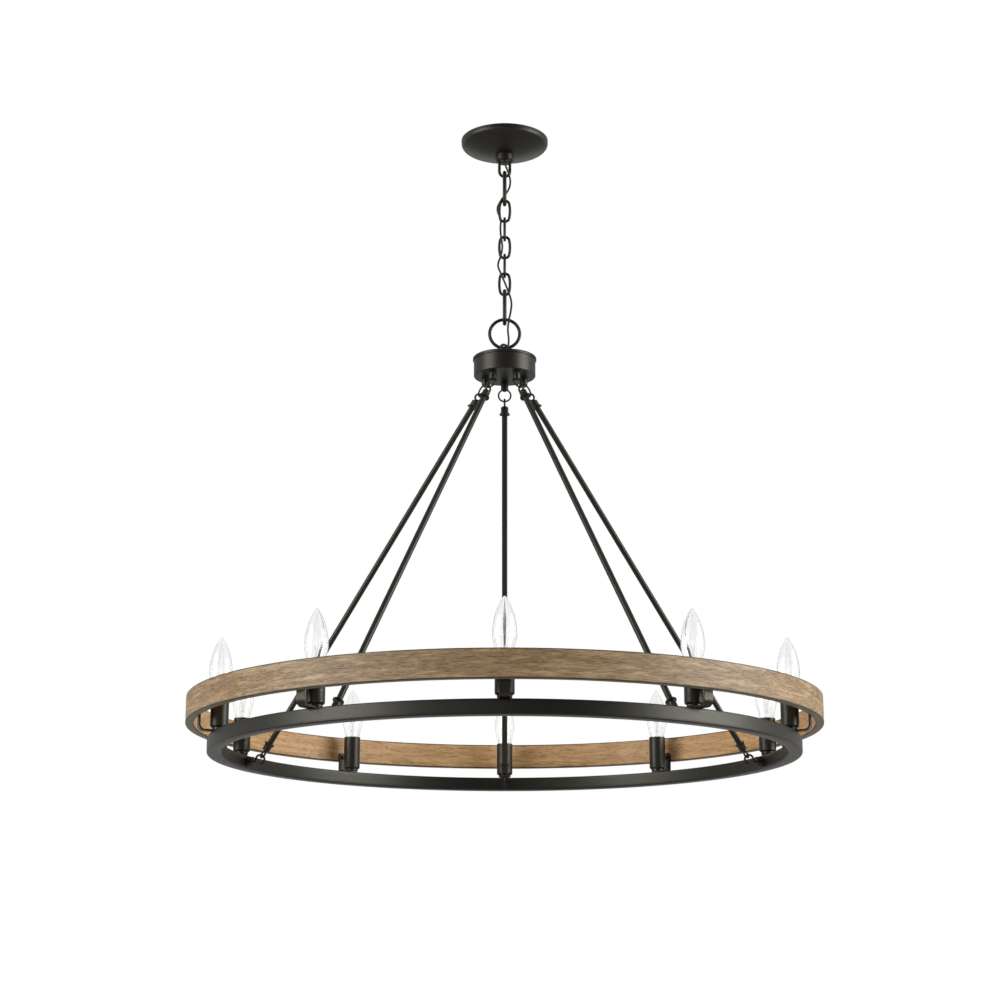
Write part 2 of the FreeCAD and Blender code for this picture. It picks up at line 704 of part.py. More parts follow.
def make_hub_studs():
    """The round-ended studs under the hub, drilled for their rings."""
    neck = cylinder(STUD_RADIUS, stud_ball_level, hub_underside, STUD_CIRCLE_RADIUS)
    ball = Part.makeSphere(STUD_RADIUS, Vector(STUD_CIRCLE_RADIUS, 0, stud_ball_level))
    shank = cylinder(STUD_SHANK_RADIUS, hub_underside, hub_underside + STUD_SHANK_LENGTH, STUD_CIRCLE_RADIUS)
    stud = united([neck, ball, shank])
    channel = ring(HUB_RING_RADIUS, HUB_RING_WIRE_RADIUS + LINK_GAP, hub_ring_centre, ring_plane_normal)
    return around(stud.cut(channel).Solids[0], ROD_COUNT, FIRST_ROD_AZIMUTH)


def make_hub_nuts():
    """The nut under the bridge, and one on each stud inside the hub."""
    stem_nut = nut(STEM_NUT_FLATS, HUB_STEM_RADIUS + THREAD_GAP, stem_bottom, bridge_bottom)
    stud_nut = nut(STUD_NUT_FLATS, STUD_SHANK_RADIUS + THREAD_GAP, hub_floor_top, hub_floor_top + STUD_NUT_HEIGHT)
    stud_nuts = around(moved(stud_nut, STUD_CIRCLE_RADIUS, 0, 0), ROD_COUNT, FIRST_ROD_AZIMUTH)
    return [stem_nut, *stud_nuts]


def make_hub_rings():
    """The small split-free rings between the studs and the rods."""
    one = ring(HUB_RING_RADIUS, HUB_RING_WIRE_RADIUS, hub_ring_centre, ring_plane_normal)
    return around(one, ROD_COUNT, FIRST_ROD_AZIMUTH)


def make_hub_wire_nuts():
    """The screwed connectors that end the lamp cord's wires inside the hub."""
    top = CORD_POINTS[-1][2]
    cap = Part.makeCone(CONNECTOR_TIP_RADIUS, CONNECTOR_RADIUS, CONNECTOR_LENGTH, Vector(0, 0, top - CONNECTOR_LENGTH))
    return around(moved(cap, CONNECTOR_CIRCLE_RADIUS, 0, 0), CONNECTOR_COUNT, FIRST_ROD_AZIMUTH)


# Rods

def make_coupling():
    """The turned end of a rod, along +Z from its eye's side, with its two bores."""
    flare_end = COUPLING_FLARE_START + COUPLING_FLARE_LENGTH
    rim_end = flare_end + COUPLING_RIM_LENGTH
    rod_bore = ROD_RADIUS + THREAD_GAP
    shank_bore = EYE_SHANK_RADIUS + THREAD_GAP
    rod_bore_start = COUPLING_LENGTH - COUPLING_ROD_DEPTH
    return revolved(rounded_outline([
        (shank_bore, 0, 0),
        (COUPLING_NOSE_RADIUS, 0, 0),
        (COUPLING_RADIUS, COUPLING_NOSE_LENGTH, 0),
        (COUPLING_RADIUS, COUPLING_FLARE_START, 0),
        (COUPLING_FLARE_RADIUS, flare_end, 0),
        (COUPLING_FLARE_RADIUS, rim_end, 0),
        (rod_bore + ROD_WALL, COUPLING_LENGTH, 0),
        (rod_bore, COUPLING_LENGTH, 0),
        (rod_bore, rod_bore_start, 0),
        (shank_bore, rod_bore_start, 0),
    ]))


def make_eye(centre, axis, along):
    """An eye of round wire on its straight shank."""
    loop = ring(EYE_RADIUS, EYE_WIRE_RADIUS, centre, axis)
    length = EYE_TO_COUPLING + COUPLING_SHANK_DEPTH - EYE_RADIUS
    shank = Part.makeCylinder(EYE_SHANK_RADIUS, length, centre + along * EYE_RADIUS, along)
    return united([loop, shank])


def make_rod(azimuth):
    """One hanging rod: a tube with a turned coupling and an eye at each end."""
    upper_start = upper_eye_centre + rod_direction * EYE_TO_COUPLING
    lower_start = lower_eye_centre - rod_direction * EYE_TO_COUPLING
    depth = COUPLING_LENGTH - COUPLING_ROD_DEPTH
    tube_start = upper_start + rod_direction * depth
    tube_length = (lower_start - upper_start).Length - 2 * depth
    tube = Part.makeCylinder(ROD_RADIUS, tube_length).cut(Part.makeCylinder(ROD_RADIUS - ROD_WALL, tube_length))
    pieces = [
        make_eye(upper_eye_centre, Y_AXIS, rod_direction),
        place_on_line(make_coupling(), upper_start, rod_direction),
        place_on_line(tube, tube_start, rod_direction),
        place_on_line(make_coupling(), lower_start, -rod_direction),
        make_eye(lower_eye_centre, ring_plane_normal, -rod_direction),
    ]
    return [turned(piece, azimuth) for piece in pieces]


# Hoops

def make_wood_hoop():
    """The bent wood rim, with a pilot hole for each bracket screw."""
    hoop = revolved(rounded_outline([
        (wood_inner_radius, wood_bottom, WOOD_EDGE_RADIUS),
        (WOOD_OUTER_RADIUS, wood_bottom, WOOD_EDGE_RADIUS),
        (WOOD_OUTER_RADIUS, wood_top, WOOD_EDGE_RADIUS),
        (wood_inner_radius, wood_top, WOOD_EDGE_RADIUS),
    ]))
    depth = BRACKET_SCREW_LENGTH - BRACKET_THICKNESS
    start = wood_inner_radius - CUT_PAST
    hole = Part.makeCylinder(BRACKET_SCREW_RADIUS, depth + CUT_PAST, Vector(start, 0, bracket_screw_level), X_AXIS)
    for cutter in around(hole, CANDLE_COUNT, FIRST_CANDLE_AZIMUTH):
        hoop = hoop.cut(cutter)
    return [hoop.Solids[0]]


def make_metal_hoop():
    """The hollow square iron hoop, with a hole over it for each candle and one inside for each hook."""
    outer = hoop_inner_radius + HOOP_SECTION
    tube = revolved(rounded_outline([
        (hoop_inner_radius, hoop_bottom, HOOP_CORNER_RADIUS),
        (outer, hoop_bottom, HOOP_CORNER_RADIUS),
        (outer, hoop_top, HOOP_CORNER_RADIUS),
        (hoop_inner_radius, hoop_top, HOOP_CORNER_RADIUS),
    ]))
    hollow = revolved(rounded_outline([
        (hoop_inner_radius + HOOP_WALL, hoop_bottom + HOOP_WALL, 0),
        (outer - HOOP_WALL, hoop_bottom + HOOP_WALL, 0),
        (outer - HOOP_WALL, hoop_top - HOOP_WALL, 0),
        (hoop_inner_radius + HOOP_WALL, hoop_top - HOOP_WALL, 0),
    ]))
    tube = tube.cut(hollow)
    candle_hole = cylinder(PIPE_RADIUS + THREAD_GAP, hoop_middle, hoop_top + CUT_PAST, candle_radius)
    hook_hole = Part.makeCylinder(
        HOOK_WIRE_RADIUS + THREAD_GAP,
        HOOP_SECTION / 2 + CUT_PAST,
        Vector(hoop_inner_radius - CUT_PAST, 0, hoop_middle),
        X_AXIS,
    )
    for cutter in around(candle_hole, CANDLE_COUNT, FIRST_CANDLE_AZIMUTH):
        tube = tube.cut(cutter)
    for cutter in around(hook_hole, ROD_COUNT, FIRST_ROD_AZIMUTH):
        tube = tube.cut(cutter)
    return [tube.Solids[0]]


def make_hook_bosses():
    """The round bosses welded inside the iron hoop, which the hooks screw through."""
    boss = Part.makeCylinder(BOSS_RADIUS, 2 * BOSS_LENGTH, Vector(boss_face, 0, hoop_middle), X_AXIS)
    boss = boss.common(cylinder(hoop_inner_radius, hoop_bottom - CUT_PAST, hoop_top + CUT_PAST))
    bore = Part.makeCylinder(
        HOOK_WIRE_RADIUS + THREAD_GAP, 2 * BOSS_LENGTH + CUT_PAST, Vector(boss_face - CUT_PAST, 0, hoop_middle), X_AXIS
    )
    return around(boss.cut(bore).Solids[0], ROD_COUNT, FIRST_ROD_AZIMUTH)


def make_hooks():
    """The open hooks that the rods' lower eyes hang on to."""
    centre = (hook_centre.x, hook_centre.z)
    curl = arc_edge(centre, HOOK_RADIUS, HOOK_END_ANGLE, 0)
    offset_x = hook_centre.x + HOOK_RADIUS + HOOK_OFFSET_BEND_RADIUS
    offset_bend = arc_edge((offset_x, hook_centre.z), HOOK_OFFSET_BEND_RADIUS, 180, 270)
    shank_end = hoop_inner_radius + HOOP_WALL + HOOK_SHANK_PAST_WALL
    shank = line_edge(end_point(offset_bend), (shank_end, hoop_middle))
    bar = round_bar([curl, offset_bend, shank], HOOK_WIRE_RADIUS)
    tip = Part.makeSphere(HOOK_WIRE_RADIUS, curl.valueAt(curl.FirstParameter))
    return around(united([bar, tip]), ROD_COUNT, FIRST_ROD_AZIMUTH)


# Brackets and candles

candle_radius = hoop_inner_radius + HOOP_SECTION / 2
bracket_top = wood_bottom + BRACKET_UPRIGHT_ON_WOOD
bracket_screw_level = (wood_bottom + bracket_top) / 2
strap_top = hoop_top + BRACKET_THICKNESS
sleeve_bottom = strap_top + NECK_HEIGHT
sleeve_top = sleeve_bottom + SLEEVE_HEIGHT
sleeve_floor = sleeve_bottom + SLEEVE_WALL
socket_top = sleeve_top - SOCKET_BELOW_SLEEVE
socket_floor = socket_top - SOCKET_DEPTH
pipe_top = sleeve_floor + PIPE_IN_SOCKET
candle_nut_top = hoop_top - HOOP_WALL
candle_nut_bottom = candle_nut_top - CANDLE_NUT_HEIGHT
pipe_bottom = candle_nut_bottom - PIPE_PAST_NUT
harness_level = hoop_bottom + HOOP_WALL + 2 * HARNESS_RADIUS


def at_candles(shape):
    """Copies of a shape made on the centre line, one at each candle."""
    return around(moved(shape, candle_radius, 0, 0), CANDLE_COUNT, FIRST_CANDLE_AZIMUTH)


def make_candle_brackets():
    """The bent straps that carry the wood hoop on the iron one, one under each candle."""
    foot = candle_radius - BRACKET_BEHIND_CANDLE
    face = wood_inner_radius
    past = face + BRACKET_THICKNESS / 2
    back = face - BRACKET_THICKNESS
    outer_bend = BRACKET_BEND_RADIUS + BRACKET_THICKNESS
    strap = rounded_outline([
        (foot, hoop_top, 0),
        (face, hoop_top, outer_bend),
        (face, bracket_top, 0),
        (back, bracket_top, 0),
        (back, strap_top, BRACKET_BEND_RADIUS),
        (foot, strap_top, 0),
    ]).extrude(Y_AXIS * BRACKET_WIDTH)
    backing = Part.makeBox(past - back, BRACKET_WIDTH, bracket_top - wood_bottom, Vector(back, 0, wood_bottom))
    strap = moved(united([strap, backing]), 0, -BRACKET_WIDTH / 2, 0)
    strap = strap.common(cylinder(face, hoop_top - CUT_PAST, bracket_top + CUT_PAST)).Solids[0]
    ends = []
    for edge in strap.Edges:
        middle = edge.CenterOfMass
        at_foot = abs(middle.x - foot) < 0.1 and edge.Length < 1.5 * BRACKET_THICKNESS
        at_top = abs(middle.z - bracket_top) < 0.1 and edge.Length < 1.5 * BRACKET_THICKNESS
        if at_foot or at_top:
            ends.append(edge)
    strap = strap.makeFillet(BRACKET_CORNER_RADIUS, ends)
    strap = strap.cut(cylinder(PIPE_RADIUS + THREAD_GAP, hoop_top - CUT_PAST, strap_top + CUT_PAST, candle_radius))
    screw_hole = Part.makeCylinder(
        BRACKET_SCREW_RADIUS + THREAD_GAP, 2 * CUT_PAST, Vector(face - CUT_PAST, 0, bracket_screw_level), X_AXIS
    )
    return around(strap.cut(screw_hole).Solids[0], CANDLE_COUNT, FIRST_CANDLE_AZIMUTH)


def make_bracket_screws():
    """The screws through the brackets into the wood."""
    screw = turned(pan_screw(BRACKET_SCREW_RADIUS, BRACKET_SCREW_LENGTH), -90, Y_AXIS)
    screw = moved(screw, wood_inner_radius - BRACKET_THICKNESS, 0, bracket_screw_level)
    return around(screw, CANDLE_COUNT, FIRST_CANDLE_AZIMUTH)


def make_candle_necks():
    """The short spacers under the candle sleeves."""
    neck = cylinder(NECK_RADIUS, strap_top, sleeve_bottom)
    neck = neck.cut(cylinder(PIPE_RADIUS + THREAD_GAP, strap_top - CUT_PAST, sleeve_bottom + CUT_PAST))
    return at_candles(neck)


def make_candle_sleeves():
    """The iron candle sleeves, open at the top."""
    inner = SLEEVE_RADIUS - SLEEVE_WALL
    hole = PIPE_RADIUS + THREAD_GAP
    sleeve = revolved(rounded_outline([
        (hole, sleeve_bottom, 0),
        (SLEEVE_RADIUS, sleeve_bottom, SLEEVE_EDGE_RADIUS),
        (SLEEVE_RADIUS, sleeve_top, 0),
        (inner, sleeve_top, 0),
        (inner, sleeve_floor, SLEEVE_EDGE_RADIUS - SLEEVE_WALL),
        (hole, sleeve_floor, 0),
    ]))
    return at_candles(sleeve)


def make_sockets():
    """The small lampholders on the pipes, inside the sleeves."""
    socket = cylinder(SOCKET_RADIUS, sleeve_floor, socket_top)
    socket = socket.cut(cylinder(BULB_BASE_RADIUS + SOCKET_GAP, socket_floor, socket_top + CUT_PAST))
    socket = socket.cut(cylinder(PIPE_RADIUS + THREAD_GAP, sleeve_floor - CUT_PAST, pipe_top))
    return at_candles(socket.Solids[0])


def make_socket_nipples():
    """The threaded pipes that clamp each candle to the iron hoop, and their nuts inside it."""
    pipe = cylinder(PIPE_RADIUS, pipe_bottom, pipe_top)
    pipe = pipe.cut(cylinder(PIPE_BORE_RADIUS, pipe_bottom - CUT_PAST, pipe_top + CUT_PAST))
    clamp = nut(CANDLE_NUT_FLATS, PIPE_RADIUS + THREAD_GAP, candle_nut_bottom, candle_nut_top)
    return [*at_candles(pipe), *at_candles(clamp)]


def make_wiring_harness():
    """The insulated wiring round the inside of the iron hoop, with a lead up to each socket."""
    loop = ring(candle_radius, HARNESS_RADIUS, Vector(0, 0, harness_level), Z_AXIS)
    lead = cylinder(HARNESS_LEAD_RADIUS, harness_level, pipe_top)
    return [united([loop, *at_candles(lead)])]


# Bulbs

glass_rise = GLASS_ABOVE_SLEEVE - GLASS_BELLY_HEIGHT - GLASS_TIP_RADIUS
glass_upper_radius = (
    glass_rise**2 / (GLASS_RADIUS - GLASS_TIP_RADIUS) + GLASS_RADIUS + GLASS_TIP_RADIUS
) / 2
base_top = socket_top + BULB_BASE_ABOVE_SOCKET
base_bottom = base_top - BULB_BASE_LENGTH
glass_neck_radius = BULB_BASE_RADIUS - BULB_BASE_WALL - SLIP_GAP
glass_neck_top = sleeve_top - GLASS_NECK_TOP_DROP
glass_neck_bottom = glass_neck_top - GLASS_NECK_LENGTH


def glass_form(inset):
    """The solid inside the bulb's outer surface moved in by an inset, on the centre line."""
    belly = sleeve_top + GLASS_BELLY_HEIGHT
    tip_centre = (0, belly + glass_rise)
    tip_angle = math.degrees(math.atan2(glass_rise, glass_upper_radius - GLASS_RADIUS))
    lower = arc_edge(
        (GLASS_RADIUS - GLASS_LOWER_BEND_RADIUS, belly), GLASS_LOWER_BEND_RADIUS - inset, -GLASS_TAPER_ANGLE, 0
    )
    upper = arc_edge((GLASS_RADIUS - glass_upper_radius, belly), glass_upper_radius - inset, 0, tip_angle)
    tip = arc_edge(tip_centre, GLASS_TIP_RADIUS - inset, tip_angle, 90)
    taper_top = start_point(lower)
    shoulder_level = sleeve_top - GLASS_SHOULDER_DROP + inset / 2
    taper = math.tan(math.radians(GLASS_TAPER_ANGLE))
    shoulder = (taper_top[0] - taper * (taper_top[1] - shoulder_level), shoulder_level)
    neck = glass_neck_radius - inset
    corners = [
        shoulder,
        (neck, glass_neck_top + inset / 2),
        (neck, glass_neck_bottom),
        (0, glass_neck_bottom),
        end_point(tip),
    ]
    lines = [line_edge(taper_top, shoulder)]
    for index in range(1, len(corners)):
        lines.append(line_edge(corners[index - 1], corners[index]))
    return revolved(Part.Face(Part.Wire(Part.__sortEdges__([lower, upper, tip, *lines]))))


def make_bulb_glass():
    """A bulb's blown envelope, and the glass stem that closes it."""
    envelope = glass_form(0).cut(glass_form(GLASS_WALL)).Solids[0]
    flare_radius = glass_neck_radius - GLASS_WALL
    flare_top = glass_neck_bottom + GLASS_FLARE_THICKNESS
    flare = cylinder(flare_radius, glass_neck_bottom, flare_top)
    stem = united([flare, cylinder(GLASS_STEM_RADIUS, flare_top, flare_top + GLASS_STEM_HEIGHT)])
    return [envelope, stem]


def make_bulb_base():
    """A bulb's brass base, a cup with its contact underneath."""
    inner = BULB_BASE_RADIUS - BULB_BASE_WALL
    cup = cylinder(BULB_BASE_RADIUS, base_bottom, base_top)
    cup = cup.cut(cylinder(inner, base_bottom + BULB_BASE_WALL, base_top + CUT_PAST))
    rim = [edge for edge in cup.Edges if edge.Closed and edge.CenterOfMass.z < base_bottom + 0.1]
    cup = cup.makeChamfer(BULB_BASE_WALL * 0.8, rim)
    return [united([cup, cylinder(CONTACT_RADIUS, base_bottom - CONTACT_HEIGHT, base_bottom)])]


def at_candle(shapes, index):
    """Copies of shapes made on the centre line, at one candle."""
    azimuth = FIRST_CANDLE_AZIMUTH + 360.0 * index / CANDLE_COUNT
    return [turned(moved(shape, candle_radius, 0, 0), azimuth) for shape in shapes]


# Lamp cord

def cord_radii(points):
    """The bend radius at each point of the cord: a share of the shorter run beside it."""
    radii = [0.0] * len(points)
    for index in range(1, len(points) - 1):
        before = points[index] - points[index - 1]
        after = points[index + 1] - points[index]
        half_turn = before.getAngle(after) / 2
        radii[index] = CORD_BEND_SHARE * min(before.Length, after.Length) / math.tan(half_turn)
    return radii


def make_lamp_cord():
    """The lamp cord, woven through the chain from the ceiling to the hub."""
    points = [Vector(*point) for point in CORD_POINTS]
    radii = cord_radii(points)
    edges = rounded_path(points, radii)
    cord = round_bar(edges, CORD_RADIUS)
    length = sum(edge.Length for edge in edges)
    print("cord length %.1f mm, bend radii from %.1f mm" % (length, min(radii[1:-1])))
    print("cord volume %.1f of %.1f mm3" % (cord.Volume, math.pi * CORD_RADIUS**2 * length))
    return [cord]


def write(name, solids):
    """Writes one sub-part's solids to its own file."""
    for solid in solids:
        if not solid.isValid():
            print("%s holds a solid that isn't valid" % name)
    shape = solids[0] if len(solids) == 1 else Part.makeCompound(solids)
    shape.exportStep("parts/%s.step" % name)


def main():
    """Builds every sub-part and writes it."""
    os.makedirs("parts", exist_ok=True)
    write("crossbar", make_crossbar())
    write("ground_screw", make_ground_screw())
    write("mounting_nipple", make_mounting_nipple())
    write("nipple_nuts", make_nipple_nuts())
    write("canopy", make_canopy())
    write("collar_ring", make_collar_ring())
    write("canopy_loop", make_canopy_loop())
    write("lamp_cord", make_lamp_cord())
    for number in range(1, LINK_COUNT + 1):
        write("chain_link_%d" % number, make_link(number))
    write("hanging_ring", make_hanging_ring())
    write("hub_loop", make_hub_loop())
    write("hub_lid", make_hub_lid())
    write("hub_body", make_hub_body())
    write("hub_bridge", make_hub_bridge())
    write("hub_studs", make_hub_studs())
    write("hub_nuts", make_hub_nuts())
    write("hub_rings", make_hub_rings())
    write("hub_wire_nuts", make_hub_wire_nuts())
    for index in range(ROD_COUNT):
        write("rod_%d" % (index + 1), make_rod(FIRST_ROD_AZIMUTH + 360.0 * index / ROD_COUNT))
    write("wood_hoop", make_wood_hoop())
    write("metal_hoop", make_metal_hoop())
    write("hook_bosses", make_hook_bosses())
    write("hooks", make_hooks())
    write("candle_brackets", make_candle_brackets())
    write("bracket_screws", make_bracket_screws())
    write("candle_necks", make_candle_necks())
    write("candle_sleeves", make_candle_sleeves())
    write("sockets", make_sockets())
    write("socket_nipples", make_socket_nipples())
    write("wiring_harness", make_wiring_harness())
    bulb_glass = make_bulb_glass()
    bulb_base = make_bulb_base()
    for index in range(CANDLE_COUNT):
        write("bulb_glass_%02d" % (index + 1), at_candle(bulb_glass, index))
        write("bulb_base_%02d" % (index + 1), at_candle(bulb_base, index))
    for name, point in (("rod pivot", rod_pivot), ("hook seat", hook_seat), ("hook centre", hook_centre)):
        print("%s: radius %.3f, level %.3f" % (name, point.x, point.z))
    print("link levels", [(round(top, 2), round(bottom, 2)) for top, bottom in link_levels()])
    print("ring %.2f to %.2f, hub loop %.2f" % (hanging_ring_top, hanging_ring_bottom, hub_loop_top))


main()
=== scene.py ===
"""Wagon wheel chandelier: the looks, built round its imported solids.

Metres, +Z up. The origin is on the ceiling plane, on the chain's centre line, and the camera stands at -Y.
Azimuths are degrees from +X, turning towards +Y.
"""

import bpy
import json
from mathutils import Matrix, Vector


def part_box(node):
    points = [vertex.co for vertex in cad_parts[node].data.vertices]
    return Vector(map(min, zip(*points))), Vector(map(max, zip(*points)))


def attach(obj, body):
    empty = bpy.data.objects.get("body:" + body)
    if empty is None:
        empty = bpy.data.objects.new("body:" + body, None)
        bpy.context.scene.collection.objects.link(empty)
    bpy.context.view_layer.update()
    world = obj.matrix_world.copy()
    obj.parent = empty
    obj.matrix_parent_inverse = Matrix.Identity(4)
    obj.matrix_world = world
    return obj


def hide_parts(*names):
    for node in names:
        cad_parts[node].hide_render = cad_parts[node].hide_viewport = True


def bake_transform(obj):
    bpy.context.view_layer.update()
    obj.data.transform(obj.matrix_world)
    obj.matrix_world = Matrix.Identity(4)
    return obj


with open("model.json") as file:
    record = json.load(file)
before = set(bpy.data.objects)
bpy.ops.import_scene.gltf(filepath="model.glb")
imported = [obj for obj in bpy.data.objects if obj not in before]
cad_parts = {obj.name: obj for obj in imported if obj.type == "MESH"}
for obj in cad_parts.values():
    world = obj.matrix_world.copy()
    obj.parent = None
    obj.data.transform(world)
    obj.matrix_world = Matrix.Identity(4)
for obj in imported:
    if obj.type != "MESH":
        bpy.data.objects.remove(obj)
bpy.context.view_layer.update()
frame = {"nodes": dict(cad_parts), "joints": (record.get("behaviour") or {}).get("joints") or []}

import json
import logging
import math
from dataclasses import dataclass, field
from enum import Enum
from typing import Any, Callable, Iterable, Optional

import bmesh
import bpy
from mathutils import Matrix, Vector

MM = 0.001
LOG = logging.getLogger("chandelier")
# Edges that turn by more than this stay sharp
TUBE_SMOOTHING = math.radians(50)
HOOP_SMOOTHING = math.radians(35)

# Sockets of the Mix node when it mixes colours
MIX_FACTOR = 0
MIX_A = 6
MIX_B = 7
MIX_RESULT = 2

Colour = tuple[float, float, float, float]
Stop = tuple[float, str]


class Slot(Enum):
    """The names of three of the record's material slots."""

    WOOD = "weathered_wood"
    IRON = "black_iron"
    CORD = "cord_fabric"


def linear(hex_colour: str) -> Colour:
    """The linear colour of an sRGB hex value.

    Args:
        hex_colour: a value such as "#a08a6b".

    Returns:
        Red, green and blue in linear light, and an alpha of 1.
    """
    channels = []
    for start in (1, 3, 5):
        value = int(hex_colour[start:start + 2], 16) / 255
        channels.append(value / 12.92 if value <= 0.04045 else ((value + 0.055) / 1.055) ** 2.4)
    return channels[0], channels[1], channels[2], 1.0


def add_node(
    tree: bpy.types.NodeTree,
    kind: str,
    settings: Optional[dict[str, Any]] = None,
    values: Optional[dict[Any, Any]] = None,
    links: Optional[dict[Any, bpy.types.NodeSocket]] = None,
) -> bpy.types.Node:
    """Adds one node with its settings and links.

    Args:
        tree: the node tree that it goes into.
        kind: Blender's name for the node type.
        settings: the node's own properties, where "ramp" gives the stops of a colour ramp.
        values: constants for its input sockets, by name or number.
        links: what feeds its input sockets, by name or number.

    Returns:
        The new node.
    """
    node = tree.nodes.new(kind)
    for name, value in (settings or {}).items():
        if name == "ramp":
            stops = node.color_ramp.elements
            stops[0].position, stops[-1].position = value[0][0], value[-1][0]
            for place, _ in value[1:-1]:
                stops.new(place)
            for stop, (_, colour) in zip(stops, value):
                stop.color = linear(colour)
        else:
            setattr(node, name, value)
    for name, value in (values or {}).items():
        node.inputs[name].default_value = value
    for name, source in (links or {}).items():
        tree.links.new(source, node.inputs[name])
    return node


# Finishes


@dataclass(frozen=True)
class Finish:
    """What a surface is made of, as one material."""

    name: str

    def material(self) -> bpy.types.Material:
        """The material, made once and then shared.

        Returns:
            The material of this name.
        """
        made = bpy.data.materials.get(self.name)
        if made is None:
            made = bpy.data.materials.new(self.name)
            made.use_nodes = True
            tree = made.node_tree
            tree.nodes.clear()
            shader = add_node(tree, "ShaderNodeBsdfPrincipled")
            output = add_node(tree, "ShaderNodeOutputMaterial", links={"Surface": shader.outputs[0]})
            self.dress(tree, shader, output)
        return made

    def dress(self, tree: bpy.types.NodeTree, shader: bpy.types.Node, output: bpy.types.Node) -> None:
        """Fills in the shader. Each finish has its own."""
        raise NotImplementedError


@dataclass(frozen=True)
class MottledCoat(Finish):
    """A coat or bare metal whose colour and gloss wander a little over its surface."""

    colour: str
    patch_colour: str
    roughness: float
    metallic: float = 0.0
    roughness_spread: float = 0.06
    patch_size: float = 30.0  # mm
    grit_size: float = 2.5  # mm
    grit_depth: float = 0.02  # mm
    patch_share: float = 0.5
    gloss_tint: str = "#ffffff"

    def dress(self, tree: bpy.types.NodeTree, shader: bpy.types.Node, output: bpy.types.Node) -> None:
        """Slow patches in the colour and gloss, and a fine grit in the relief.

        Args:
            tree: the material's nodes.
            shader: its surface shader.
            output: its output node, not used here.
        """
        place = add_node(tree, "ShaderNodeTexCoord").outputs["Object"]
        patches = add_node(
            tree, "ShaderNodeTexNoise",
            values={"Scale": 1 / (self.patch_size * MM), "Detail": 4.0, "Roughness": 0.6},
            links={"Vector": place},
        ).outputs["Fac"]
        grit = add_node(
            tree, "ShaderNodeTexNoise",
            values={"Scale": 1 / (self.grit_size * MM), "Detail": 3.0, "Roughness": 0.55},
            links={"Vector": place},
        ).outputs["Fac"]
        share = add_node(
            tree, "ShaderNodeMapRange", {"interpolation_type": "SMOOTHSTEP"},
            {"From Min": 0.38, "From Max": 0.72, "To Max": self.patch_share}, {"Value": patches},
        ).outputs["Result"]
        colour = add_node(
            tree, "ShaderNodeMix", {"data_type": "RGBA"},
            {MIX_A: linear(self.colour), MIX_B: linear(self.patch_colour)}, {MIX_FACTOR: share},
        ).outputs[MIX_RESULT]
        gloss = add_node(
            tree, "ShaderNodeMapRange",
            values={"From Min": 0.3, "From Max": 0.7, "To Min": self.roughness - self.roughness_spread,
                    "To Max": self.roughness + self.roughness_spread}, links={"Value": grit},
        ).outputs["Result"]
        relief = add_node(
            tree, "ShaderNodeBump", values={"Strength": 1.0, "Distance": self.grit_depth * MM},
            links={"Height": grit},
        ).outputs["Normal"]
        shader.inputs["Metallic"].default_value = self.metallic
        shader.inputs["Specular Tint"].default_value = linear(self.gloss_tint)
        tree.links.new(colour, shader.inputs["Base Color"])
        tree.links.new(gloss, shader.inputs["Roughness"])
        tree.links.new(relief, shader.inputs["Normal"])


@dataclass(frozen=True)
class Grain:
    """One layer of a grain that runs round the hoop."""

    length: float  # mm along the hoop
    height: float  # mm across the face
    depth: float  # mm into the wood
    detail: float = 3.0
    roughness: float = 0.55
    distortion: float = 0.0
    seed: float = 0.0


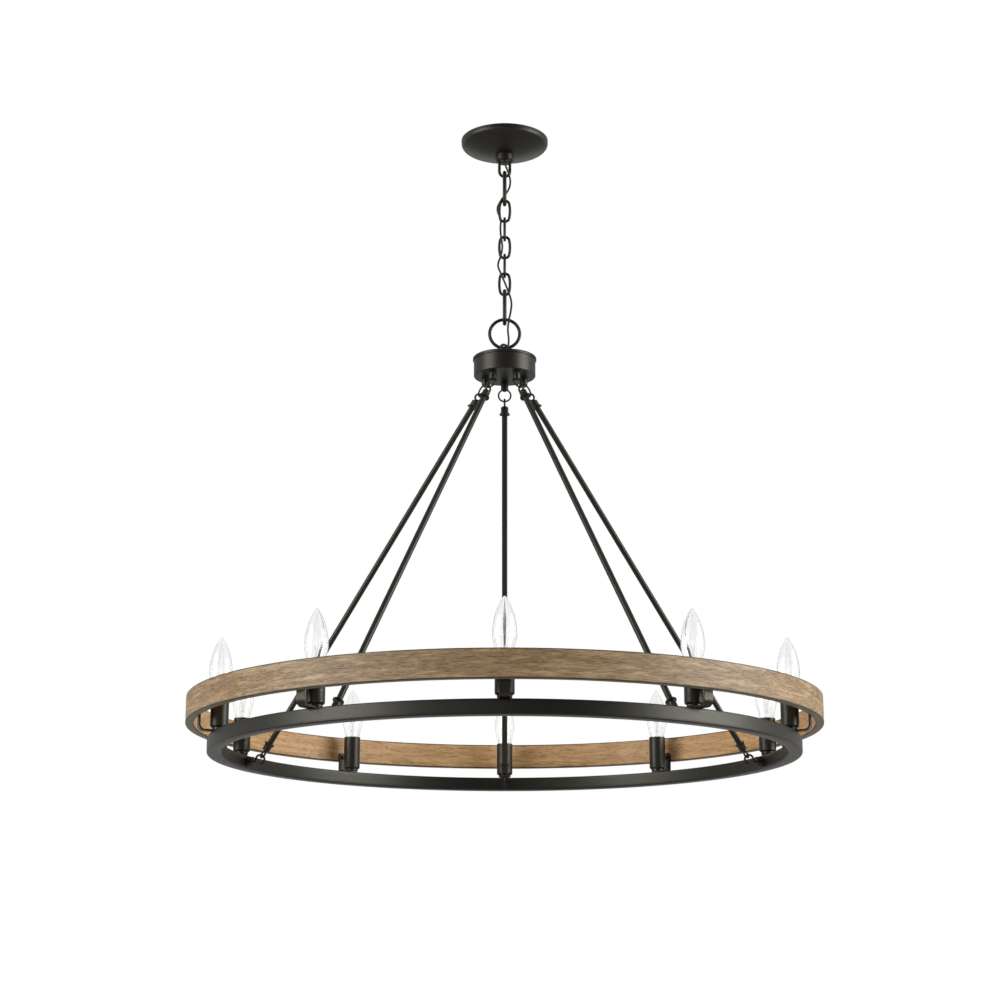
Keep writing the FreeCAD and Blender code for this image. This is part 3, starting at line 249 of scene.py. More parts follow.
@dataclass(frozen=True)
class BentWood(Finish):
    """Limed oak bent into a hoop: open grain along it, greyer outside than inside, darker at its edges."""

    hoop_radius: float
    thickness: float
    height: float
    level: float
    outside: tuple[Stop, ...] = (
        (0.34, "#4b3a27"), (0.43, "#856b4d"), (0.50, "#a68963"), (0.57, "#bca17b"), (0.69, "#d3c2a1"),
    )
    inside: tuple[Stop, ...] = (
        (0.34, "#8f6236"), (0.43, "#c29260"), (0.50, "#dbab73"), (0.58, "#e4b984"), (0.70, "#eccb9f"),
    )
    crack_colour: str = "#46331f"
    knot_colour: str = "#8a5220"
    line_colour: str = "#2a2016"
    # Top and bottom faces: sawn wood, greyed and lightened as a painted reflection of the pale floor
    end_colour_with_painted_sheen: str = "#8e8470"
    line_width: float = 1.8  # mm
    stain_share: float = 0.85
    fibre_relief: float = 0.22  # mm
    pore_relief: float = 0.12  # mm
    dullest: float = 0.58  # roughness in the dark grain
    shiniest: float = 0.42  # and on the pale wood
    # Fibres are about 1 mm high in the real wood, and are drawn a little coarser so that they show
    fibre: Grain = Grain(length=14, height=1.2, depth=6, detail=5, roughness=0.65, distortion=0.4, seed=3.1)
    figure: Grain = Grain(length=60, height=6.5, depth=12, detail=3, roughness=0.5, distortion=0.7, seed=11.7)
    tone: Grain = Grain(length=240, height=40, depth=30, detail=2, roughness=0.5, seed=23.9)
    pores: Grain = Grain(length=9, height=0.9, depth=4, detail=2, roughness=0.5, seed=31.3)
    knots: Grain = Grain(length=60, height=22, depth=20, detail=2, roughness=0.5, distortion=0.4, seed=47.1)

    def grain(self, tree: bpy.types.NodeTree, layer: Grain, place: bpy.types.NodeSocket,
              radius: bpy.types.NodeSocket) -> bpy.types.NodeSocket:
        """One layer of noise, drawn out round the hoop and with no seam.

        Args:
            tree: the material's nodes.
            layer: its lengths.
            place: the point as a unit direction round the hoop, and its level.
            radius: the distance from the centre line.

        Returns:
            The layer's value, from 0 to 1.
        """
        turns = self.hoop_radius / (layer.length * MM)
        stretched = add_node(
            tree, "ShaderNodeVectorMath", {"operation": "MULTIPLY_ADD"},
            {1: (turns, turns, 1 / (layer.height * MM)), 2: (layer.seed, layer.seed, layer.seed)}, {0: place},
        ).outputs["Vector"]
        across = add_node(
            tree, "ShaderNodeMath", {"operation": "MULTIPLY"}, {1: 1 / (layer.depth * MM)}, {0: radius},
        ).outputs[0]
        return add_node(
            tree, "ShaderNodeTexNoise", {"noise_dimensions": "4D"},
            {"Scale": 1.0, "Detail": layer.detail, "Roughness": layer.roughness,
                "Distortion": layer.distortion},
            {"Vector": stretched, "W": across},
        ).outputs["Fac"]

    def band(self, tree: bpy.types.NodeTree, source: bpy.types.NodeSocket, middle: float, start: float,
             end: float) -> bpy.types.NodeSocket:
        """How far a point is past a band about a middle value, from 0 at start to 1 at end.

        Args:
            tree: the material's nodes.
            source: the level or radius.
            middle: the middle of the band.
            start: distance from the middle where it begins.
            end: distance from the middle where it is full.

        Returns:
            The share, from 0 to 1.
        """
        offset = add_node(
            tree, "ShaderNodeMath", {"operation": "SUBTRACT"}, {1: middle}, {0: source},
        ).outputs[0]
        distance = add_node(tree, "ShaderNodeMath", {"operation": "ABSOLUTE"}, links={0: offset}).outputs[0]
        return add_node(
            tree, "ShaderNodeMapRange", values={"From Min": start, "From Max": end},
            links={"Value": distance},
        ).outputs["Result"]

    def dress(self, tree: bpy.types.NodeTree, shader: bpy.types.Node, output: bpy.types.Node) -> None:
        """Grain layers, two tones, dark edges and a shallow relief.

        Args:
            tree: the material's nodes.
            shader: its surface shader.
            output: its output node, not used here.
        """
        point = add_node(tree, "ShaderNodeTexCoord").outputs["Object"]
        flat = add_node(
            tree, "ShaderNodeVectorMath", {"operation": "MULTIPLY"}, {1: (1, 1, 0)}, {0: point},
        ).outputs["Vector"]
        radius = add_node(
            tree, "ShaderNodeVectorMath", {"operation": "LENGTH"}, links={0: flat},
        ).outputs["Value"]
        way = add_node(
            tree, "ShaderNodeVectorMath", {"operation": "NORMALIZE"}, links={0: flat},
        ).outputs["Vector"]
        level = add_node(tree, "ShaderNodeSeparateXYZ", links={0: point}).outputs["Z"]
        lifted = add_node(tree, "ShaderNodeCombineXYZ", links={"Z": level}).outputs[0]
        place = add_node(
            tree, "ShaderNodeVectorMath", {"operation": "ADD"}, links={0: way, 1: lifted},
        ).outputs["Vector"]

        fibre = self.grain(tree, self.fibre, place, radius)
        figure = self.grain(tree, self.figure, place, radius)
        tone = self.grain(tree, self.tone, place, radius)
        pores = self.grain(tree, self.pores, place, radius)
        knots = self.grain(tree, self.knots, place, radius)

        body = add_node(tree, "ShaderNodeMath", {"operation": "MULTIPLY_ADD"}, {1: 0.55, 2: 0.0}, {0: fibre})
        body = add_node(
            tree, "ShaderNodeMath", {"operation": "MULTIPLY_ADD"}, {1: 0.30}, {0: figure, 2: body.outputs[0]})
        body = add_node(
            tree, "ShaderNodeMath", {"operation": "MULTIPLY_ADD"}, {1: 0.15},
            {0: tone, 2: body.outputs[0]}).outputs[0]
        outer = add_node(
            tree, "ShaderNodeValToRGB", {"ramp": self.outside}, links={"Fac": body},
        ).outputs["Color"]
        inner = add_node(
            tree, "ShaderNodeValToRGB", {"ramp": self.inside}, links={"Fac": body},
        ).outputs["Color"]
        knot = add_node(
            tree, "ShaderNodeMapRange", {"interpolation_type": "SMOOTHSTEP"},
            {"From Min": 0.62, "From Max": 0.78, "To Max": 0.55}, {"Value": knots},
        ).outputs["Result"]
        inner = add_node(
            tree, "ShaderNodeMix", {"data_type": "RGBA"}, {MIX_B: linear(self.knot_colour)},
            {MIX_FACTOR: knot, MIX_A: inner},
        ).outputs[MIX_RESULT]
        middle = self.hoop_radius - 0.5 * self.thickness
        blend = 0.1 * self.thickness
        side = add_node(
            tree, "ShaderNodeMapRange", values={"From Min": middle - blend, "From Max": middle + blend},
            links={"Value": radius},
        ).outputs["Result"]
        colour = add_node(
            tree, "ShaderNodeMix", {"data_type": "RGBA"},
            links={MIX_FACTOR: side, MIX_A: inner, MIX_B: outer},
        ).outputs[MIX_RESULT]

        # Cracks are thin and wavy, and they come and go along the hoop
        crack = self.band(tree, figure, 0.5, 0.028, 0.0)
        open_part = add_node(
            tree, "ShaderNodeMapRange", values={"From Min": 0.42, "From Max": 0.56, "To Max": 0.8},
            links={"Value": fibre},
        ).outputs["Result"]
        crack = add_node(
            tree, "ShaderNodeMath", {"operation": "MULTIPLY"}, links={0: crack, 1: open_part},
        ).outputs[0]
        colour = add_node(
            tree, "ShaderNodeMix", {"data_type": "RGBA"}, {MIX_B: linear(self.crack_colour)},
            {MIX_FACTOR: crack, MIX_A: colour},
        ).outputs[MIX_RESULT]

        # Pores are short dark dashes
        dash = add_node(
            tree, "ShaderNodeMapRange", values={"From Min": 0.60, "From Max": 0.70, "To Max": 0.45},
            links={"Value": pores},
        ).outputs["Result"]
        colour = add_node(
            tree, "ShaderNodeMix", {"data_type": "RGBA"}, {MIX_B: linear(self.outside[0][1])},
            {MIX_FACTOR: dash, MIX_A: colour},
        ).outputs[MIX_RESULT]

        # The sawn top and bottom faces are a plain grey-brown, partly their own and partly a painted floor
        # reflection, and stained where they meet the faces
        half_height, half_thickness = self.height / 2, self.thickness / 2
        width = self.line_width * MM
        ends = self.band(tree, level, self.level, half_height - 0.9 * MM, half_height - 0.2 * MM)
        near_end = self.band(tree, level, self.level, half_height - width, half_height - 0.6 * width)
        near_face = self.band(
            tree, radius, self.hoop_radius - half_thickness, half_thickness - width,
            half_thickness - 0.6 * width)
        plain = add_node(
            tree, "ShaderNodeMix", {"data_type": "RGBA"}, {MIX_B: linear(self.end_colour_with_painted_sheen)},
            {MIX_FACTOR: ends, MIX_A: colour},
        ).outputs[MIX_RESULT]
        corner = add_node(
            tree, "ShaderNodeMath", {"operation": "MULTIPLY"}, links={0: near_end, 1: near_face},
        ).outputs[0]
        stain = add_node(
            tree, "ShaderNodeMath", {"operation": "MULTIPLY"}, {1: self.stain_share}, {0: corner},
        ).outputs[0]
        finished = add_node(
            tree, "ShaderNodeMix", {"data_type": "RGBA"}, {MIX_B: linear(self.line_colour)},
            {MIX_FACTOR: stain, MIX_A: plain},
        ).outputs[MIX_RESULT]

        gloss = add_node(
            tree, "ShaderNodeMapRange",
            values={"From Min": 0.3, "From Max": 0.7, "To Min": self.dullest, "To Max": self.shiniest},
            links={"Value": body},
        ).outputs["Result"]
        relief = add_node(
            tree, "ShaderNodeBump", values={"Strength": 1.0, "Distance": self.fibre_relief * MM},
            links={"Height": fibre},
        ).outputs["Normal"]
        relief = add_node(
            tree, "ShaderNodeBump", {"invert": True}, {"Strength": 1.0, "Distance": self.pore_relief * MM},
            {"Height": pores, "Normal": relief},
        ).outputs["Normal"]
        tree.links.new(finished, shader.inputs["Base Color"])
        tree.links.new(gloss, shader.inputs["Roughness"])
        tree.links.new(relief, shader.inputs["Normal"])


@dataclass(frozen=True)
class BlownGlass(Finish):
    """Clear soda-lime lamp glass: its wall darkens only where it is seen edge on."""

    ior: float = 1.5
    tint: str = "#a9a6a1"
    depth: float = 60.0  # per metre of glass, for the part of the light that the tint takes
    ripple_size: float = 14.0  # mm
    ripple_depth: float = 0.015  # mm
    roughest: float = 0.03

    def dress(self, tree: bpy.types.NodeTree, shader: bpy.types.Node, output: bpy.types.Node) -> None:
        """A clear shader, faint ripples from blowing, and a grey tint through the wall.

        Args:
            tree: the material's nodes.
            shader: its surface shader.
            output: its output node.
        """
        place = add_node(tree, "ShaderNodeTexCoord").outputs["Object"]
        ripple = add_node(
            tree, "ShaderNodeTexNoise", values={"Scale": 1 / (self.ripple_size * MM), "Detail": 1.0},
            links={"Vector": place},
        ).outputs["Fac"]
        relief = add_node(
            tree, "ShaderNodeBump", values={"Strength": 1.0, "Distance": self.ripple_depth * MM},
            links={"Height": ripple},
        ).outputs["Normal"]
        gloss = add_node(
            tree, "ShaderNodeMapRange", values={"To Min": 0.0, "To Max": self.roughest},
            links={"Value": ripple},
        ).outputs["Result"]
        shader.inputs["Transmission Weight"].default_value = 1.0
        shader.inputs["IOR"].default_value = self.ior
        shader.inputs["Base Color"].default_value = (1.0, 1.0, 1.0, 1.0)
        tree.links.new(gloss, shader.inputs["Roughness"])
        tree.links.new(relief, shader.inputs["Normal"])
        wall = add_node(
            tree, "ShaderNodeVolumeAbsorption", values={"Color": linear(self.tint), "Density": self.depth},
        ).outputs[0]
        tree.links.new(wall, output.inputs["Volume"])


@dataclass(frozen=True)
class BraidedSleeve(Finish):
    """A braided textile sleeve: fine threads that cross at a slant, dark brown over black."""

    colour: str = "#1d1713"
    thread_colour: str = "#3a2e26"
    pairs: int = 6
    pitch: float = 7.0  # mm along the cord for one turn of a thread, drawn coarse enough to show
    relief_depth: float = 0.12  # mm

    def dress(self, tree: bpy.types.NodeTree, shader: bpy.types.Node, output: bpy.types.Node) -> None:
        """Two slanting sets of ridges, read from the cord's own map: turns round it, and metres along it.

        Args:
            tree: the material's nodes.
            shader: its surface shader.
            output: its output node, not used here.
        """
        place = add_node(tree, "ShaderNodeTexCoord").outputs["UV"]
        along_turns = self.pairs / (self.pitch * MM)
        ridges = []
        for slant in (1.0, -1.0):
            phase = add_node(
                tree, "ShaderNodeVectorMath", {"operation": "DOT_PRODUCT"},
                {1: (2 * math.pi * self.pairs, slant * 2 * math.pi * along_turns, 0)}, {0: place},
            ).outputs["Value"]
            ridges.append(
                add_node(tree, "ShaderNodeMath", {"operation": "SINE"}, links={0: phase}).outputs[0],
            )
        height = add_node(
            tree, "ShaderNodeMath", {"operation": "MAXIMUM"}, links={0: ridges[0], 1: ridges[1]}).outputs[0]
        colour = add_node(
            tree, "ShaderNodeValToRGB", {"ramp": ((0.0, self.colour), (1.0, self.thread_colour))},
            links={"Fac": height},
        ).outputs["Color"]
        relief = add_node(
            tree, "ShaderNodeBump", values={"Strength": 1.0, "Distance": self.relief_depth * MM},
            links={"Height": height},
        ).outputs["Normal"]
        shader.inputs["Roughness"].default_value = 0.72
        shader.inputs["Sheen Weight"].default_value = 0.25
        shader.inputs["Sheen Roughness"].default_value = 0.5
        tree.links.new(colour, shader.inputs["Base Color"])
        tree.links.new(relief, shader.inputs["Normal"])


@dataclass(frozen=True)
class PaleFloor(Finish):
    """A pale painted floor that runs out into the white of the room, and still takes a faint shadow."""

    colour: str = "#cfccc7"
    whiteness: float = 0.66  # share of plain white to the eye under the chandelier
    fade_start: float = 2.4  # m from its middle
    fade_end: float = 6.4

    def dress(self, tree: bpy.types.NodeTree, shader: bpy.types.Node, output: bpy.types.Node) -> None:
        """Mixes matt paint with the backdrop's white, for the eye and through glass only.

        Args:
            tree: the material's nodes.
            shader: its surface shader.
            output: its output node.
        """
        shader.inputs["Base Color"].default_value = linear(self.colour)
        shader.inputs["Roughness"].default_value = 0.9
        place = add_node(tree, "ShaderNodeTexCoord").outputs["Object"]
        flat = add_node(
            tree, "ShaderNodeVectorMath", {"operation": "MULTIPLY"}, {1: (1, 1, 0)}, {0: place},
        ).outputs["Vector"]
        distance = add_node(
            tree, "ShaderNodeVectorMath", {"operation": "LENGTH"}, links={0: flat},
        ).outputs["Value"]
        share = add_node(
            tree, "ShaderNodeMapRange", {"interpolation_type": "SMOOTHSTEP"},
            {"From Min": self.fade_start, "From Max": self.fade_end, "To Min": self.whiteness, "To Max": 1.0},
            {"Value": distance},
        ).outputs["Result"]
        rays = add_node(tree, "ShaderNodeLightPath")
        seen = add_node(
            tree, "ShaderNodeMath", {"operation": "MAXIMUM"},
            links={0: rays.outputs["Is Camera Ray"], 1: rays.outputs["Is Transmission Ray"]},
        ).outputs[0]
        white = add_node(
            tree, "ShaderNodeMath", {"operation": "MULTIPLY"}, links={0: share, 1: seen},
        ).outputs[0]
        backdrop = add_node(
            tree, "ShaderNodeEmission", values={"Color": (1.0, 1.0, 1.0, 1.0), "Strength": 1.0},
        )
        mixed = add_node(
            tree, "ShaderNodeMixShader",
            links={0: white, 1: shader.outputs[0], 2: backdrop.outputs[0]}).outputs[0]
        tree.links.new(mixed, output.inputs["Surface"])


# Steel with a satin powder coat: nearly black, with a soft sheen and a trace of brown where it is handled
BLACK_IRON = MottledCoat(
    name="powder_coated_steel", colour="#151412", patch_colour="#1b1712", roughness=0.40, grit_depth=0.012,
    gloss_tint="#fffdea")
# Zinc-plated steel keeps a bluish grey with the faint patches of its plating bath
ZINC_STEEL = MottledCoat(
    name="zinc_plated_steel", colour="#b4b8ba", patch_colour="#9da2a4", roughness=0.36, metallic=1.0, patch_size=9.0)
# The earth screw is dyed green through a thin clear lacquer, so it still shines like metal
GREEN_SCREW = MottledCoat(
    name="green_dyed_screw", colour="#2f8a45", patch_colour="#24733a", roughness=0.34, metallic=0.7, patch_size=4.0)
# Drawn brass, bright but a little dulled by handling
LAMP_BRASS = MottledCoat(
    name="drawn_brass", colour="#c9a65c", patch_colour="#b08d46", roughness=0.28, metallic=1.0, patch_size=7.0)
# Moulded phenolic, as lampholders are: near black with a waxy gloss
PHENOLIC = MottledCoat(
    name="moulded_phenolic", colour="#1b1917", patch_colour="#231f1b", roughness=0.38, patch_size=12.0)
# Soft flame-retardant vinyl on the wiring
VINYL_SLEEVE = MottledCoat(
    name="vinyl_wire_sleeve", colour="#24211e", patch_colour="#1a1816", roughness=0.5, patch_size=15.0)
# Moulded nylon shell of a twist-on wire connector
NYLON_SHELL = MottledCoat(
    name="moulded_nylon_shell", colour="#c9601f", patch_colour="#b9541a", roughness=0.45, patch_size=6.0)
# Drawn tungsten is a dark grey metal with a dull gloss
TUNGSTEN = MottledCoat(
    name="drawn_tungsten", colour="#6d6862", patch_colour="#58524b", roughness=0.5, metallic=0.8, patch_size=3.0,
    grit_size=0.5, grit_depth=0.002)
# Copper-clad lead wires, reddish brown after heating
LEAD_WIRE = MottledCoat(
    name="copper_clad_wire", colour="#8d5f42", patch_colour="#6e4630", roughness=0.4, metallic=0.8, patch_size=3.0,
    grit_size=0.5, grit_depth=0.002)
# Soda-lime glass, blown thin and left clear: only its rim shows, as a grey line
LAMP_GLASS = BlownGlass(name="clear_lamp_glass")
# Braided textile over the lamp wires: matt, with a fine slanting weave
CORD_BRAID = BraidedSleeve(name="braided_cord_sleeve")


# Pieces


def paint(piece: bpy.types.Object, finish: Finish) -> None:
    """Gives every part of a piece one finish.

    Args:
        piece: a mesh object.
        finish: what it is made of.
    """
    if piece.material_slots:
        for slot in piece.material_slots:
            slot.material = finish.material()
    else:
        piece.data.materials.append(finish.material())


def dress_nodes(names: Iterable[str], finish: Finish) -> None:
    """Gives solids that stay as they are their finish.

    Args:
        names: the solids' names.
        finish: what they are made of.
    """
    for name in names:
        paint(frame["nodes"][name], finish)
        LOG.info("%s: %s", name, finish.name)


def deselect() -> None:
    """Leaves nothing selected, in object mode."""
    if bpy.context.mode != "OBJECT":
        bpy.ops.object.mode_set(mode="OBJECT")
    bpy.ops.object.select_all(action="DESELECT")


def select_only(piece: bpy.types.Object) -> None:
    """Selects one piece and makes it active.

    Args:
        piece: the object to work on.
    """
    deselect()
    piece.select_set(True)
    bpy.context.view_layer.objects.active = piece


def settle(piece: bpy.types.Object) -> None:
    """Puts a piece's place into its mesh, so that its object sits at the origin."""
    select_only(piece)
    bpy.ops.object.transform_apply(location=True, rotation=True, scale=True)


def apply_modifier(piece: bpy.types.Object, kind: str, settings: dict[str, Any]) -> None:
    """Adds a modifier and applies it.

    Args:
        piece: a mesh object.
        kind: Blender's name for the modifier type.
        settings: its properties.
    """
    select_only(piece)
    modifier = piece.modifiers.new(kind.lower(), kind)
    for name, value in settings.items():
        setattr(modifier, name, value)
    bpy.ops.object.modifier_apply(modifier=modifier.name)


def select_edges(piece: bpy.types.Object, wanted: Callable[[Vector, Vector], bool]) -> None:
    """Enters edit mode with only certain edges selected.

    Args:
        piece: a mesh object.
        wanted: says, from the edge's two ends, whether it is selected.
    """
    select_only(piece)
    bpy.ops.object.mode_set(mode="EDIT")
    bpy.ops.mesh.select_mode(type="EDGE")
    bpy.ops.mesh.select_all(action="DESELECT")
    mesh = bmesh.from_edit_mesh(piece.data)
    for edge in mesh.edges:
        if wanted(edge.verts[0].co, edge.verts[1].co):
            edge.select = True
    mesh.select_flush_mode()
    bmesh.update_edit_mesh(piece.data)


def turned_copy(piece: bpy.types.Object, name: str, degrees: float) -> bpy.types.Object:
    """A copy with its own mesh, turned about the centre line.

    Args:
        piece: the first one.
        name: the copy's name.
        degrees: how far it turns.

    Returns:
        The copy, with its place in its mesh.
    """
    copy = piece.copy()
    copy.data = piece.data.copy()
    copy.name = copy.data.name = name
    copy.data.transform(Matrix.Rotation(math.radians(degrees), 4, "Z"))
    bpy.context.scene.collection.objects.link(copy)
    return copy


def finished_piece(name: str, mesh: bmesh.types.BMesh) -> bpy.types.Object:
    """A piece from a closed mesh, smooth but for its sharp edges.

    Args:
        name: the piece's name.
        mesh: what it is made from. It is freed.

    Returns:
        The piece.
    """
    bmesh.ops.recalc_face_normals(mesh, faces=mesh.faces)
    data = bpy.data.meshes.new(name)
    mesh.to_mesh(data)
    mesh.free()
    piece = bpy.data.objects.new(name, data)
    bpy.context.scene.collection.objects.link(piece)
    select_only(piece)
    bpy.ops.object.shade_smooth_by_angle(angle=TUBE_SMOOTHING)
    return piece


def wire_piece(name: str, lines: list[list[Vector]], radius: float, sides: int) -> bpy.types.Object:
    """A mesh of round wires along lines, with closed ends.

    Args:
        name: the piece's name.
        lines: the points of each wire's centre line.
        radius: the wire's radius.
        sides: how many sides its section has.

    Returns:
        The piece.
    """
    mesh = bmesh.new()
    for line in lines:
        rings = []
        tangent = (line[1] - line[0]).normalized()
        across = tangent.orthogonal().normalized()
        for index, point in enumerate(line):
            before, after = line[max(index - 1, 0)], line[min(index + 1, len(line) - 1)]
            tangent = (after - before).normalized()
            across = (across - tangent * across.dot(tangent)).normalized()
            third = tangent.cross(across)
            ring = []
            for side in range(sides):
                angle = 2 * math.pi * side / sides
                ring.append(
                    mesh.verts.new(point + (across * math.cos(angle) + third * math.sin(angle)) * radius),
                )
            rings.append(ring)
        for low, high in zip(rings, rings[1:]):
            for side in range(sides):
                following = (side + 1) % sides
                mesh.faces.new((low[side], low[following], high[following], high[side]))
        mesh.faces.new(list(reversed(rings[0])))
        mesh.faces.new(rings[-1])
    return finished_piece(name, mesh)


@dataclass
class CeilingFixing:
    """What is on the ceiling: the crossbar with its screw and pipe, the canopy and the loop under it."""

    def build(self) -> None:
        """Dresses the ceiling end."""
        dress_nodes(["crossbar", "mounting_nipple", "nipple_nuts"], ZINC_STEEL)
        dress_nodes(["ground_screw"], GREEN_SCREW)
        dress_nodes(["canopy", "collar_ring", "canopy_loop"], BLACK_IRON)


@dataclass
class Chain:
    """Seven links and the hanging ring."""

    links: int = 7

    def build(self) -> None:
        """Dresses the chain."""
        dress_nodes([f"chain_link_{number}" for number in range(1, self.links + 1)] + ["hanging_ring"],
            BLACK_IRON)


@dataclass
class Hub:
    """The round wiring box, with its loop, studs and rings, and what is inside it."""

    def build(self) -> None:
        """Dresses the hub."""
        dress_nodes(["hub_loop", "hub_lid", "hub_body", "hub_studs", "hub_rings"], BLACK_IRON)
        dress_nodes(["hub_bridge", "hub_nuts"], ZINC_STEEL)
        dress_nodes(["hub_wire_nuts"], NYLON_SHELL)


@dataclass
class Hoop:
    """A closed hoop of rectangular section."""

    name: str
    outer_radius: float
    thickness: float
    height: float
    level: float  # of its middle
    edge_radius: float
    segments: int = 480
    rows: int = 10
    waviness: float = 0.0
    wave_length: float = 0.09

    def build(self) -> bpy.types.Object:
        """Makes the hoop: one wall, divided in height, thickened inwards, rounded at its edges, slightly wavy.

        Returns:
            The hoop.
        """
        deselect()
        bpy.ops.mesh.primitive_cylinder_add(
            vertices=self.segments, radius=self.outer_radius, depth=self.height, end_fill_type="NOTHING",
            location=(0, 0, self.level))
        hoop = bpy.context.active_object
        hoop.name = hoop.data.name = self.name
        settle(hoop)
        select_edges(hoop, lambda one, other: abs(one.z - other.z) > self.height / 2)
        bpy.ops.mesh.subdivide(number_cuts=self.rows - 1)
        bpy.ops.object.mode_set(mode="OBJECT")
        apply_modifier(hoop, "SOLIDIFY",
            {"thickness": self.thickness, "offset": -1.0, "use_even_offset": True})
        apply_modifier(hoop, "BEVEL", {
            "width": self.edge_radius, "segments": 3, "limit_method": "ANGLE",
            "angle_limit": math.radians(40)})
        if self.waviness:
            waves = bpy.data.textures.new(self.name + "_waves", "CLOUDS")
            waves.noise_scale = self.wave_length
            waves.noise_depth = 2
            apply_modifier(hoop, "DISPLACE", {"texture": waves, "strength": self.waviness, "mid_level": 0.5})
        select_only(hoop)
        bpy.ops.object.shade_smooth_by_angle(angle=HOOP_SMOOTHING)
        return hoop


@dataclass
class Wheel:
    """The wood hoop, the iron hoop inside it, hooks, brackets and candles, and the rods that carry them."""

    wood_edge_radius: float = 0.8 * MM
    iron_edge_radius: float = 1.5 * MM
    wood_thickness: float = 12.0 * MM
    rods: int = 5

    def hoop_like(self, node: str, thickness: float, edge_radius: float, rows: int, waviness: float) -> Hoop:
        """A hoop where a solid is, with its outer radius, level and height.

        Args:
            node: the solid's name, which the hoop takes.
            thickness: its wall across the radius.
            edge_radius: of its four edges.
            rows: how many rows of faces its wall has.
            waviness: how much its faces wander in and out.

        Returns:
            The hoop's sizes.
        """
        low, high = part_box(node)
        return Hoop(
            name=node + "_dressed", outer_radius=(high.y - low.y) / 2, thickness=thickness,
            height=high.z - low.z,
            level=(high.z + low.z) / 2, edge_radius=edge_radius, rows=rows, waviness=waviness)

    def build_wood(self) -> None:
        """Makes the wood hoop."""
        sizes = self.hoop_like("wood_hoop", self.wood_thickness, self.wood_edge_radius, 12, 0.25 * MM)
        hoop = sizes.build()
        paint(hoop, BentWood(
            name="limed_bent_oak", hoop_radius=sizes.outer_radius, thickness=sizes.thickness,
            height=sizes.height,
            level=sizes.level))
        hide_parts("wood_hoop")
        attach(hoop, "wheel")
        LOG.info("wood hoop: %d faces", len(hoop.data.polygons))

    def build_iron(self) -> None:
        """Makes the iron hoop."""
        low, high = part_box("metal_hoop")
        sizes = self.hoop_like("metal_hoop", high.z - low.z, self.iron_edge_radius, 4, 0.0)
        hoop = sizes.build()
        paint(hoop, BLACK_IRON)
        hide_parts("metal_hoop")
        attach(hoop, "wheel")
        LOG.info("iron hoop: %d faces", len(hoop.data.polygons))

    def build(self) -> None:
        """Makes the two hoops and dresses the rest."""
        self.build_wood()
        self.build_iron()
        dress_nodes([f"rod_{number}" for number in range(1, self.rods + 1)], BLACK_IRON)
        dress_nodes(["hook_bosses", "hooks"], BLACK_IRON)
        dress_nodes(["candle_brackets", "candle_necks", "candle_sleeves", "bracket_screws"], BLACK_IRON)
        dress_nodes(["sockets"], PHENOLIC)
        dress_nodes(["socket_nipples"], ZINC_STEEL)
        dress_nodes(["wiring_harness"], VINYL_SLEEVE)


